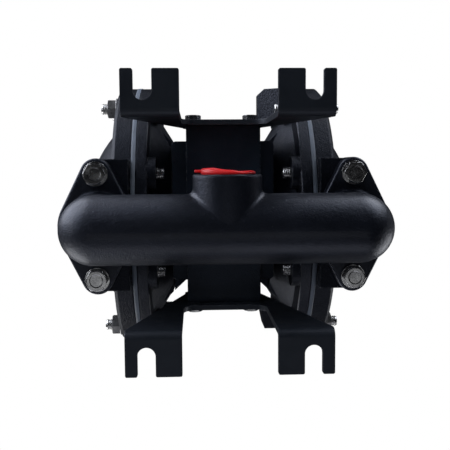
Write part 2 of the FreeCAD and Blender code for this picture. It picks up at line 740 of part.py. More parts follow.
# -------------------------------------------------------------- centre body
B = D.body_x
core = box(-B, B, -D.body_front, D.body_back, D.body_low, D.body_high)
spine = box(-D.spine_x, D.spine_x, -D.spine_front, D.spine_back, D.spine_low, D.spine_high)
core = fuse(core, spine)
core = fillet(core, 3.0, lambda e: e.BoundBox.ZLength > 100 and abs(e.BoundBox.XMin) > 30)
core = fillet(core, 2.0, lambda e: e.BoundBox.ZLength > 100 and abs(abs(e.BoundBox.XMin) - 26) < 0.1
              and (e.BoundBox.YMin < -60 or e.BoundBox.YMax > 55))
webs = []
for sx in (-1, 1):
    for outline in (((25, 40), (36.5, 40), (36.5, 57.3), (25, 46.6)), ((26, -54), (36.5, -54), (36.5, -58))):
        pts = [(x * sx, y) for x, y in outline]
        webs.append(prism(pts, "XY_Plane", 60, 0, 0, D.chamber_z - 30))
core = fuse(core, *webs)
bores = [cyl(D.bush_r, D.body_x * 2 + 2, -D.body_x - 1, 0, D.chamber_z, TO_X),
         cyl(5, D.body_x * 2 + 2, -D.body_x - 1, D.pilot_y, D.chamber_z + D.pilot_dz, TO_X)]
for sx in (-1, 1):
    bores.append(cyl(5, 30, 10 * sx if sx > 0 else -40, 30, 200, TO_X))
    bores.append(cyl(5, 29, 14 * sx, 29.5, 200, TO_Y))
    for y, z in ((40, 0), (-40, 0), (0, 40), (0, -40)):
        bores.append(cyl(2.5, 16, 21.5 if sx > 0 else -37.5, y, D.chamber_z + z, TO_X))
    for z in (D.bracket_bolt_z,):
        bores.append(cyl(2.5, 14, D.bracket_bolt_x * sx, -D.spine_front - 1, z, TO_Y))
        bores.append(cyl(2.5, 14, D.bracket_bolt_x * sx, D.spine_back - 13, z, TO_Y))
        bores.append(cyl(3.15, 2, D.bracket_bolt_x * sx, -D.spine_front - 1, z, TO_Y))
        bores.append(cyl(3.15, 2, D.bracket_bolt_x * sx, D.spine_back - 1, z, TO_Y))
# exhaust port at the front, valve screws at the back
bores.append(cyl(6.6, 30, 0, -D.spine_front - 1, D.silencer_z, TO_Y))
for sx in (-1, 1):
    for z in (172, 238):
        bores.append(cyl(2.1, 17, 19 * sx, 43, z, TO_Y))
        bores.append(cyl(2.75, 2, 19 * sx, 56.7, z, TO_Y))
bores.append(cyl(2.1, 9, 18, -D.spine_front - 1, 142, TO_Y))
for sx in (-1, 1):
    bores.append(cyl(1.25, 7, 16.5 * sx, -D.spine_front - 1, D.plate_z + 12, TO_Y))
node("centre_body", cut(core, *bores))

# ---------------------------------------------------------------- diaphragms
for name, rot in (("left_diaphragm", TO_MX), ("right_diaphragm", TO_X)):
    k = D.diaphragm_lift
    disc = turned([
        (6.2, D.clamp_in + k), (D.plate_r, D.clamp_in + k), (D.plate_r + 8, D.clamp_in + k - 0.8),
        (D.plate_r + 22, D.clamp_in + 1), (D.plate_r + 30, D.clamp_in), (D.diaphragm_r, D.clamp_in),
        (D.diaphragm_r, D.clamp_out), (D.plate_r + 26.6, D.clamp_out), (D.plate_r + 22.5, D.clamp_out + 1),
        (D.plate_r + 8.5, D.clamp_out + k - 0.8), (D.plate_r + 1, D.clamp_out + k),
        (6.2, D.clamp_out + k)], 0, 0, D.chamber_z, rot)
    holes = []
    for i in range(8):
        a = math.radians(22.5 + 45 * i)
        holes.append(cyl(D.chamber_hole_r + 0.1, 8, 58 if rot is TO_X else -66, D.chamber_bolt_r * math.cos(a),
                         D.chamber_z + D.chamber_bolt_r * math.sin(a), TO_X))
    node(name, cut(disc, *holes))

# ------------------------------------------------- shaft, plates and nuts
for side, rot in (("left", TO_MX), ("right", TO_X)):
    node(side + "_inner_plate", turned([
        (D.shaft_end_r + 0.1, D.inner_plate_back), (14, D.inner_plate_back),
        (18, D.inner_plate_back + 1.5), (D.plate_r - 6, D.inner_plate_back + 1.5),
        (D.plate_r - 2, D.inner_plate_back + 2.6), (D.plate_r, D.inner_plate_back + 3.8),
        (D.plate_r - 1.2, D.inner_plate_back + 4.5), (D.shaft_end_r + 0.1, D.inner_plate_back + 4.5)],
        0, 0, D.chamber_z, rot))
    f = D.outer_plate_face
    node(side + "_outer_plate", turned([
        (D.shaft_end_r + 0.1, f - 5.5), (D.plate_r - 3, f - 5.5), (D.plate_r - 1, f - 5),
        (D.plate_r - 1, f - 3.5), (D.plate_r - 4, f - 2), (16, f - 0.6), (15, f),
        (D.shaft_end_r + 0.1, f)], 0, 0, D.chamber_z, rot))

node("diaphragm_shaft", turned([
    (0, -D.shaft_end_x), (D.shaft_end_r - 1, -D.shaft_end_x), (D.shaft_end_r, -D.shaft_end_x + 1),
    (D.shaft_end_r, -D.inner_plate_back), (D.shaft_r - 0.5, -D.inner_plate_back),
    (D.shaft_r, -D.inner_plate_back + 0.5), (D.shaft_r, D.inner_plate_back - 0.5),
    (D.shaft_r - 0.5, D.inner_plate_back), (D.shaft_end_r, D.inner_plate_back),
    (D.shaft_end_r, D.shaft_end_x - 1), (D.shaft_end_r - 1, D.shaft_end_x), (0, D.shaft_end_x)],
    0, 0, D.chamber_z, TO_X))


def hex_head(flats, h, bore=0, top_only=True):
    """A hexagon with the usual turned corners, resting on z = 0 upwards."""
    r = flats / 2
    e = flats / math.sqrt(3)
    d = (e - r) * 0.58
    if top_only:
        pts = [(0, 0), (e + 0.3, 0), (e + 0.3, h - d), (r * 0.96, h), (0, h)]
    else:
        pts = [(0, 0), (r * 0.96, 0), (e + 0.3, d), (e + 0.3, h - d), (r * 0.96, h), (0, h)]
    head = common(hexagon(flats, h), turned(pts))
    return cut(head, cyl(bore, h + 2, 0, 0, -1)) if bore else head


nut12 = hex_head(19, 10, 6.04, False)
node("shaft_nuts", copies(nut12, [
    (Vector(D.outer_plate_face.value, 0, D.chamber_z.value), TO_X),
    (Vector(-D.outer_plate_face.value, 0, D.chamber_z.value), TO_MX)], "shaft_nuts"))

# ------------------------------------------------------ bushes and seals
g = D.run_gap
bush = turned([(D.shaft_r + g, 19), (D.bush_r, 19), (D.bush_r, 36), (D.bush_r - 0.6, 36.4),
               (D.shaft_r + g, 36.4)])
node("shaft_bushes", copies(bush, [(Vector(0, 0, 165), TO_X), (Vector(0, 0, 165), TO_MX)], "shaft_bushes"))
seal = turned([(D.shaft_r + 0.1, 13), (9.2, 12.2), (D.bush_r - 0.05, 12.6), (D.bush_r - 0.05, 18.2),
               (D.shaft_r + 0.4, 18.2), (D.shaft_r + 0.1, 17)])
node("shaft_seals", copies(seal, [(Vector(0, 0, 165), TO_X), (Vector(0, 0, 165), TO_MX)], "shaft_seals"))
pilot_bush = turned([(D.pilot_r + g, 24), (4.98, 24), (4.98, 36.4), (D.pilot_r + g, 36.4)])
at = Vector(0, D.pilot_y.value, D.chamber_z.value + D.pilot_dz.value)
node("pilot_bushes", copies(pilot_bush, [(at, TO_X), (at, TO_MX)], "pilot_bushes"))
node("pilot_rod", turned([
    (0, -D.pilot_half), (D.pilot_r - 0.8, -D.pilot_half), (D.pilot_r, -D.pilot_half + 0.8),
    (D.pilot_r, D.pilot_half - 0.8), (D.pilot_r - 0.8, D.pilot_half), (0, D.pilot_half)],
    0, D.pilot_y, D.chamber_z + D.pilot_dz, TO_X))

# ----------------------------------------------------- gaskets and screws
gasket = cut(cyl(56, 0.9), cyl(12, 3, 0, 0, -1), cyl(6, 3, -35, 30, -1), cyl(6, 3, -22, -22, -1),
             cyl(4, 3, 0, 40, -1), cyl(4, 3, 0, -40, -1), cyl(4, 3, 40, 0, -1), cyl(4, 3, -40, 0, -1),
             box(-75, 75, 42, 75, -1, 3))
gasket_l = cut(cyl(56, 0.9), cyl(12, 3, 0, 0, -1), cyl(6, 3, 35, 30, -1), cyl(6, 3, 22, -22, -1),
               cyl(4, 3, 0, 40, -1), cyl(4, 3, 0, -40, -1), cyl(4, 3, 40, 0, -1), cyl(4, 3, -40, 0, -1),
               box(-75, 75, 42, 75, -1, 3))
place(gasket, 36.55, 0, D.chamber_z, TO_X)
place(gasket_l, -36.55, 0, D.chamber_z, TO_MX)
node("air_cap_gaskets", group(gasket, gasket_l))

spots = []
for y, z in ((40, 0), (-40, 0), (0, 40), (0, -40)):
    spots.append((Vector(42.5, y, 165 + z), TO_X))
    spots.append((Vector(-42.5, y, 165 + z), TO_MX))
# the thread core of these screws is drawn at the tapping size
screw6core = cut(fuse(turned([(0, 0), (5, 0), (5, 4.6), (4.3, 5.4), (0, 5.4)]),
                      turned([(0, -19), (2.45, -19), (2.45, -5.6), (3.0, -5), (3.0, 0), (0, 0)])),
                 hexagon(5, 4, 0, 0, 2.6))
node("air_cap_screws", copies(screw6core, spots, "air_cap_screws"))


# ------------------------------------------------------------- valve seats
def seat():
    h, r = D.seat_h, D.seat_r
    return turned([(D.seat_bore_r, 0), (15.4, 0), (15.4, 2.5), (r, 2.5), (r, h), (r - 4.6, h),
                   (D.seat_bore_r + 0.4, h - 4), (D.seat_bore_r, h - 4.4)])


one = seat()
node("lower_valve_seats", copies(one, [
    (Vector(s * D.valve_x.value, 0, D.joint_low.value), UP) for s in (-1, 1)], "lower_valve_seats"))
node("upper_valve_seats", copies(one, [
    (Vector(s * D.valve_x.value, 0, D.joint_high.value), UP) for s in (-1, 1)], "upper_valve_seats"))
oring = ring(16.7, 1.2)
node("seat_o_rings", copies(oring, [
    (Vector(s * D.valve_x.value, 0, z.value + 1.25), UP)
    for s in (-1, 1) for z in (D.joint_low, D.joint_high)], "seat_o_rings"))
for name, sx, z in (("lower_left_ball", -1, D.joint_low), ("lower_right_ball", 1, D.joint_low),
                    ("upper_left_ball", -1, D.joint_high), ("upper_right_ball", 1, D.joint_high)):
    node(name, ball(D.ball_r, D.valve_x * sx, 0, z + D.seat_h + D.ball_lift))


# -------------------------------------------------------------- fasteners
def bolt(flats, head, r, length, threaded, pitch=1.25):
    """Hexagon bolt, its underside of head on z = 0 and its shank downwards."""
    top = hex_head(flats, head)
    pts = [(0, 0), (r, 0), (r, -(length - threaded))]
    z = length - threaded
    core = r - pitch * 0.5
    while z + pitch < length:
        pts.append((core, -(z + pitch / 2)))
        pts.append((r, -(z + pitch)))
        z += pitch
    pts += [(r - 1, -length), (0, -length)]
    return fuse(top, turned(pts))




def stud(r, length, inner, outer, pitch=1.25):
    """Stud along +z from z = 0, with ring-cut threads on its two exposed ends."""
    core = r - pitch * 0.5
    pts, z = [(0, 0), (core, 0), (r, 0.7)], 0.7
    while z + pitch < inner:
        pts += [(core, z + pitch / 2), (r, z + pitch)]
        z += pitch
    z = length - outer
    pts.append((r, z))
    while z + pitch < length - 0.6:
        pts += [(core, z + pitch / 2), (r, z + pitch)]
        z += pitch
    pts += [(core, length), (0, length)]
    return turned(pts)


# stud ends show past the bosses of the air caps and past the nuts
m8 = stud(4, 48.8, 5.6, 5.2)
m8w = cut(cyl(8, 1.6), cyl(4.3, 4, 0, 0, -1))
chamber_spots = []
nut_spots = []
washer_spots = []
for sx, out, inw in ((1, TO_X, TO_MX), (-1, TO_MX, TO_X)):
    for k in range(8):
        a = math.radians(22.5 + 45 * k)
        y = D.chamber_bolt_r.value * math.cos(a)
        z = D.chamber_z.value + D.chamber_bolt_r.value * math.sin(a)
        chamber_spots.append((Vector(sx * (D.bolt_boss_x.value - 5.5), y, z), out))
        washer_spots.append((Vector(sx * (D.fluid_flange_face.value), y, z), out))
        nut_spots.append((Vector(sx * (D.fluid_flange_face.value + 1.6), y, z), out))
node("chamber_studs", copies(m8, chamber_spots, "chamber_studs"))
node("chamber_washers", copies(m8w, washer_spots, "chamber_washers"))
nut8 = hex_head(13, 6.5, 4.02, False)
node("chamber_nuts", copies(nut8, nut_spots, "chamber_nuts"))

m8s = bolt(13, 5.4, 4, 21, 1.5)
low_z = D.joint_low.value - D.flange_t.value
high_z = D.joint_high.value + D.flange_t.value
bolts, washers = [], []
for sx in (-1, 1):
    for sy in (-1, 1):
        x, y = sx * D.valve_x.value, sy * D.ear_y.value
        washers.append((Vector(x, y, low_z), TO_MZ))
        washers.append((Vector(x, y, high_z), UP))
        bolts.append((Vector(x, y, low_z - 1.6), TO_MZ))
        bolts.append((Vector(x, y, high_z + 1.6), UP))
node("manifold_bolts", copies(m8s, bolts, "manifold_bolts"))
node("manifold_washers", copies(m8w, washers, "manifold_washers"))

# ---------------------------------------------------------------- brackets
def bracket(back):
    b = doc.addObject("PartDesign::Body", fresh("Body"))
    i, o = D.foot_in_x, D.foot_out_x
    low, high = D.web_low, D.web_high
    sk = polygon_sketch(b, [
        (i, 0), (o, 0), (o, 6), (i, D.leg_top_z), (i, high), (-i, high), (-i, D.leg_top_z),
        (-o, 6), (-o, 0), (-i, 0), (-i, low), (i, low)], "XZ_Plane")
    pad = b.newObject("PartDesign::Pad", fresh("Pad"))
    pad.Profile = sk
    bind(pad, "Length", D.sheet_t)
    b.Tip = pad
    doc.recompute()
    sk2 = circle_sketch(b, [(D.bracket_bolt_x * s, D.bracket_bolt_z, 3.3) for s in (-1, 1)], "XZ_Plane")
    pocket = b.newObject("PartDesign::Pocket", fresh("Pocket"))
    pocket.Profile = sk2
    pocket.Type = 1
    pocket.Midplane = True
    b.Tip = pocket
    doc.recompute()
    for s in (-1, 1):
        sk3 = polygon_sketch(b, [(i * s, 0), (o * s, 0), (o * s, -D.foot_len), (i * s, -D.foot_len)], "XY_Plane")
        foot = b.newObject("PartDesign::Pad", fresh("Foot"))
        foot.Profile = sk3
        bind(foot, "Length", D.sheet_t)
        b.Tip = foot
        doc.recompute()
    end = D.foot_len - D.slot_depth + D.slot_r
    for s in (-1, 1):
        sk4 = circle_sketch(b, [(D.slot_x * s, -end, D.slot_r)], "XY_Plane")
        p = b.newObject("PartDesign::Pocket", fresh("SlotEnd"))
        p.Profile = sk4
        p.Type = 1
        p.Midplane = True
        b.Tip = p
        doc.recompute()
        sk5 = polygon_sketch(b, [(D.slot_x * s - D.slot_r, -end), (D.slot_x * s + D.slot_r, -end),
                                 (D.slot_x * s + D.slot_r, -D.foot_len - 2),
                                 (D.slot_x * s - D.slot_r, -D.foot_len - 2)], "XY_Plane")
        p = b.newObject("PartDesign::Pocket", fresh("Slot"))
        p.Profile = sk5
        p.Type = 1
        p.Midplane = True
        b.Tip = p
        doc.recompute()
    t = D.sheet_t.value
    if back:
        place(b, 0, D.spine_back, 0, TURN)
    else:
        place(b, 0, -D.spine_front, 0)
    doc.recompute()
    ys = D.spine_back.value if back else -D.spine_front.value
    out = 1 if back else -1

    def near(v, w):
        return abs(v - w) < 0.02

    # the bend: the outside of the fold faces the pump, the inside the foot
    body = fillet(b, 5.2, lambda e: near(e.BoundBox.YMin, ys) and near(e.BoundBox.YMax, ys)
                  and near(e.BoundBox.ZMin, 0) and near(e.BoundBox.ZMax, 0))
    body = fillet(body, 2.0, lambda e: near(e.BoundBox.YMin, ys + out * t) and near(e.BoundBox.YMax, ys + out * t)
                  and near(e.BoundBox.ZMin, t) and near(e.BoundBox.ZMax, t))
    body = fillet(body, 9.0, lambda e: near(e.BoundBox.ZMin, D.web_low.value) and near(e.BoundBox.ZMax, D.web_low.value)
                  and e.BoundBox.YLength > 3 and e.BoundBox.XLength < 0.1)
    body = fillet(body, 14.0, lambda e: near(e.BoundBox.ZMin, D.leg_top_z.value) and near(e.BoundBox.ZMax, D.leg_top_z.value)
                  and e.BoundBox.YLength > 3 and e.BoundBox.XLength < 0.1)
    body = fillet(body, 5.0, lambda e: near(e.BoundBox.ZMin, D.web_high.value) and near(e.BoundBox.ZMax, D.web_high.value)
                  and e.BoundBox.YLength > 3 and e.BoundBox.XLength < 0.1)
    # foot corners
    tip = ys + out * D.foot_len.value
    body = fillet(body, 1.1, lambda e: near(e.BoundBox.YMin, tip) and near(e.BoundBox.YMax, tip)
                  and near(e.BoundBox.ZLength, t))
    return body


node("front_bracket", bracket(False))
node("rear_bracket", bracket(True))

m6core = fuse(hex_head(10, 4.2), turned([(0, 0), (3, 0), (3, -4.9), (2.45, -5.4), (2.45, -14), (0, -14)]))
m6w = cut(cyl(6, 1.2), cyl(3.2, 4, 0, 0, -1))
# the rear bolts sit on a flat washer with a thick lock washer on it
m6lock = cut(fuse(cyl(6, 1.2), cyl(5.3, 3.6)), cyl(3.2, 6, 0, 0, -1))
spots, flats, locks = [], [], []
for sx in (-1, 1):
    x, z = sx * D.bracket_bolt_x.value, D.bracket_bolt_z.value
    yf = -(D.spine_front.value + D.sheet_t.value)
    yb = D.spine_back.value + D.sheet_t.value
    flats.append((Vector(x, yf, z), TO_MY))
    locks.append((Vector(x, yb, z), TO_Y))
    spots.append((Vector(x, yf - 1.2, z), TO_MY))
    spots.append((Vector(x, yb + 3.6, z), TO_Y))
node("bracket_bolts", copies(m6core, spots, "bracket_bolts"))
node("bracket_washers", group(copies(m6w, flats, "front_washers"), copies(m6lock, locks, "rear_washers")))

# --------------------------------------------------------------- air valve
K = D.block_x
block = box(-K, K, D.block_front, D.block_back, D.block_low, D.block_high)
block = fillet(block, 4.0, lambda e: e.BoundBox.YLength > 15 and e.BoundBox.XLength < 0.1 and e.BoundBox.ZLength < 0.1)
boss = turned([(0, 0), (13.5, 0), (13.5, 2.6), (12.7, 3.4), (0, 3.4)], 0, D.block_back - 1, D.inlet_z, TO_Y)
block = fuse(block, boss)
tools = [cyl(D.sleeve_r + 0.02, K * 2 + 2, -K - 1, D.spool_y, D.spool_z, TO_X),
         cyl(3.5, D.inlet_z - D.spool_z - 4, 0, 70.6, D.spool_z + 4),
         cyl(8.4, 16, 0, D.block_back - 11, D.inlet_z, TO_Y)]
for sx in (-1, 1):
    tools.append(cyl(5, 8, 14 * sx, D.block_front - 1, 200, TO_Y))
    for z in (172, 238):
        tools.append(cyl(2.6, 30, 19 * sx, D.block_front - 1, z, TO_Y))
        tools.append(cyl(4.6, 6, 19 * sx, D.block_back - 4.2, z, TO_Y))
node("valve_block", cut(block, *tools))
node("valve_block_gasket", cut(
    box(-K + 0.5, K - 0.5, D.spine_back + 0.05, D.block_front - 0.05, D.block_low + 0.5, D.block_high - 0.5),
    cyl(5.5, 6, -14, 55, 200, TO_Y), cyl(5.5, 6, 14, 55, 200, TO_Y),
    cyl(2.7, 6, -19, 55, 172, TO_Y), cyl(2.7, 6, 19, 55, 172, TO_Y),
    cyl(2.7, 6, -19, 55, 238, TO_Y), cyl(2.7, 6, 19, 55, 238, TO_Y)))
m5 = cut(fuse(turned([(0, 0), (4.2, 0), (4.2, 3.4), (3.6, 4), (0, 4)]),
              turned([(0, -31), (2.05, -31), (2.05, -18.5), (2.5, -18), (2.5, 0), (0, 0)])),
         hexagon(4, 3, 0, 0, 1.8))
base = D.block_back.value - 4.2
node("valve_block_screws", copies(m5, [
    (Vector(19 * sx, base, z), TO_Y) for sx in (-1, 1) for z in (172, 238)], "valve_block_screws"))

sleeve = cut(cyl(D.sleeve_r, 38, -19, D.spool_y, D.spool_z, TO_X),
             cyl(D.spool_r + D.run_gap, 40, -20, D.spool_y, D.spool_z, TO_X),
             cyl(1.6, 24, -9, D.spool_y, D.spool_z - 12, UP), cyl(1.6, 24, 0, D.spool_y, D.spool_z - 12, UP),
             cyl(1.6, 24, 9, D.spool_y, D.spool_z - 12, UP))
node("valve_sleeve", sleeve)
node("valve_spool", turned([
    (0, -15), (D.spool_r - 0.6, -15), (D.spool_r, -14.4), (D.spool_r, -12.2), (D.spool_r - 1.4, -12.2),
    (D.spool_r - 1.4, -10.2), (D.spool_r, -10.2), (D.spool_r, -8),
    (4.2, -7), (4.2, -4), (D.spool_r, -3), (D.spool_r, -1), (D.spool_r - 1.4, -1), (D.spool_r - 1.4, 1),
    (D.spool_r, 1), (D.spool_r, 3), (4.2, 4), (4.2, 7), (D.spool_r, 8),
    (D.spool_r, 10.2), (D.spool_r - 1.4, 10.2), (D.spool_r - 1.4, 12.2), (D.spool_r, 12.2),
    (D.spool_r, 14.4), (D.spool_r - 0.6, 15), (0, 15)], 0, D.spool_y, D.spool_z, TO_X))
spool_seal = turned([(D.spool_r - 1.3, -0.9), (D.spool_r, -0.9), (D.spool_r, 0.9), (D.spool_r - 1.3, 0.9)])
node("spool_seals", copies(spool_seal, [
    (Vector(dx, D.spool_y.value, D.spool_z.value), TO_X) for dx in (-11.2, 0, 11.2)], "spool_seals"))
plug_end = cut(turned([(0, 0), (D.sleeve_r - 0.1, 0), (D.sleeve_r - 0.1, 4.4), (D.sleeve_r - 0.9, 5), (0, 5)]),
               hexagon(8, 3.5, 0, 0, 2))
node("valve_end_plugs", copies(plug_end, [
    (Vector(19.2, D.spool_y.value, D.spool_z.value), TO_X),
    (Vector(-19.2, D.spool_y.value, D.spool_z.value), TO_MX)], "valve_end_plugs"))

# brass reducer in the air inlet: hexagon outside, spigot in the block
hexa = hex_head(20, 5.5)
bush_in = cut(fuse(hexa, cyl(8.35, 11, 0, 0, -10.5)), cyl(D.air_port_r, 30, 0, 0, -12),
              cone(D.air_port_r, D.air_port_r + 1, 1, 0, 0, 4.6))
place(bush_in, 0, D.block_back + 2.45, D.inlet_z, TO_Y)
node("air_inlet_bush", bush_in)

# --------------------------------------------- breather, plate, small screws
sil = cut(fuse(hex_head(19, 4.4), cyl(6.5, 9, 0, 0, -8.5)), cyl(7.3, 4, 0, 0, 2), cyl(4.5, 14, 0, 0, -10))
place(sil, 0, -D.spine_front - 0.05, D.silencer_z, TO_MY)
node("silencer_body", sil)
disc = turned([(0, 2.05), (7.25, 2.05), (7.25, 4.6), (6.2, 5.8), (4, 6.7), (0, 7.2)],
              0, -D.spine_front - 0.05, D.silencer_z, TO_MY)
node("silencer_disc", disc)

label_plate = box(-20, 20, -D.spine_front - 0.8, -D.spine_front - 0.05, D.plate_z, D.plate_z + 24)
label_plate = fillet(label_plate, 2.0, lambda e: e.BoundBox.YLength > 0.5 and e.BoundBox.XLength < 0.1
                     and e.BoundBox.ZLength < 0.1)
label_plate = cut(label_plate, cyl(1.3, 3, -16.5, -D.spine_front - 2, D.plate_z + 12, TO_Y),
                  cyl(1.3, 3, 16.5, -D.spine_front - 2, D.plate_z + 12, TO_Y))
node("name_plate", label_plate)
rivet = turned([(0, -6), (1.2, -6), (1.2, 0), (2.4, 0), (2.4, 0.5), (1.6, 1.1), (0, 1.3)])
node("name_plate_rivets", copies(rivet, [
    (Vector(16.5 * sx, -D.spine_front.value - 0.82, D.plate_z.value + 12), TO_MY)
    for sx in (-1, 1)], "name_plate_rivets"))
gs = cut(fuse(turned([(0, 0), (4, 0), (4, 1.6), (3, 2.6), (0, 3)]),
              turned([(0, -8), (2.05, -8), (2.05, 0), (0, 0)])),
         box(-4.5, 4.5, -0.5, 0.5, 1.9, 4))
place(gs, 18, -D.spine_front - 0.05, 142, TO_MY)
node("grounding_screw", gs)

# ---------------------------------------------------------------- port plug
plug = fuse(turned([(0, 0), (18.5, 0), (18.5, 1.3), (15.6, 3.4), (13.5, 4.4), (0, 4.4)]),
            turned([(14.0, 1.0), (14.0, -3.8), (15.8, -3.8), (16.6, -3.0), (16.6, 1.0)]),
            box(-22.6, -14.5, -3.4, 3.4, 0, 1.6))
plug = cut(plug, turned([(0, 1.2), (11.2, 1.2), (12.0, 6), (0, 6)]))
place(plug, 0, -D.neck_y - 0.3, D.tube_z, TO_MY)
node("inlet_plug", plug)

# ------------------------------------------------------------ test and write
doc.recompute()
faults = []
for o in doc.Objects:
    state = [s for s in o.State if s in ("Invalid", "Error")]
    if state:
        faults.append("%s (%s): %s" % (o.Name, o.Label, state))
for name, o in NODES.items():
    shape = o.Shape
    if shape.isNull() or not shape.isValid() or not shape.Solids:
        faults.append("%s: shape null, invalid or without solids" % name)
    elif any(not s.isClosed() for s in shape.Solids):
        faults.append("%s: open solid" % name)
if len(set(NODES)) != len(NODES) or len(NODES) > 60:
    faults.append("bad node count %d" % len(NODES))
if faults:
    for f in faults:
        print("FAULT", f)
    raise SystemExit(1)

os.makedirs("parts", exist_ok=True)
for name, o in NODES.items():
    o.Shape.exportStep("parts/%s.step" % name)
print(len(NODES), "nodes written")
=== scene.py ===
"""Looks of the air operated diaphragm pump. All lengths in metres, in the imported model's frame."""
import json
import math

import bmesh
import bpy
from mathutils import Matrix, Vector, noise


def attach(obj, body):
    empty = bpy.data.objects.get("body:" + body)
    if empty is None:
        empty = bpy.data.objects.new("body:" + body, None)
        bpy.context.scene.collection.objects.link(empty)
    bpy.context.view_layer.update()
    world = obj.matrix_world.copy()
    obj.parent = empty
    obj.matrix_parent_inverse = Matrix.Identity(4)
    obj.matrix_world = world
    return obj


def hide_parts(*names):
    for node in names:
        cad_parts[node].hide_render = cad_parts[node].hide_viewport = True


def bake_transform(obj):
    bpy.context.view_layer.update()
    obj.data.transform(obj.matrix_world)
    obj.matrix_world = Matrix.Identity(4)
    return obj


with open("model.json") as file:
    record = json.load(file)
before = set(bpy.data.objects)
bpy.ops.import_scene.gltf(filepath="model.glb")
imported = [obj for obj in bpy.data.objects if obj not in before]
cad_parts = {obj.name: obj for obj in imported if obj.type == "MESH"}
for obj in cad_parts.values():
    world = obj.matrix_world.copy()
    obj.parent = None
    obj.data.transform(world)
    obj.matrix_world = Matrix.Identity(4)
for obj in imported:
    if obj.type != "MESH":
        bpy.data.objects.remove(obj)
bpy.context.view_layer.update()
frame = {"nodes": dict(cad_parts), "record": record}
nodes = frame["nodes"]
scene = bpy.context.scene

# ------------------------------------------------------------------ camera
# Position and turn were solved from the flange bolts, nuts, tube ends and feet.
EYE = Vector((-0.01973, -0.03804, -0.3932))
YAW, PITCH, ROLL, FOCAL = 0.043, -0.084, 0.007, 680.0


def camera_rows():
    yaw = Matrix(((math.cos(YAW), 0, -math.sin(YAW)), (0, 1, 0), (math.sin(YAW), 0, math.cos(YAW))))
    pitch = Matrix(((1, 0, 0), (0, math.cos(PITCH), -math.sin(PITCH)), (0, math.sin(PITCH), math.cos(PITCH))))
    roll = Matrix(((math.cos(ROLL), -math.sin(ROLL), 0), (math.sin(ROLL), math.cos(ROLL), 0), (0, 0, 1)))
    flip = Matrix(((1, 0, 0), (0, -1, 0), (0, 0, 1)))
    return roll @ pitch @ yaw @ flip


rows = camera_rows()
right, up, forward = rows[0], rows[1], rows[2]
cam_data = bpy.data.cameras.new("camera")
cam_data.sensor_width = 36.0
cam_data.lens = FOCAL / 450.0 * 36.0
cam_data.clip_start = 0.01
cam_data.clip_end = 50.0
camera = bpy.data.objects.new("camera", cam_data)
scene.collection.objects.link(camera)
turn = Matrix((right, up, -forward)).transposed()
camera.matrix_world = Matrix.Translation(EYE) @ turn.to_4x4()
scene.camera = camera


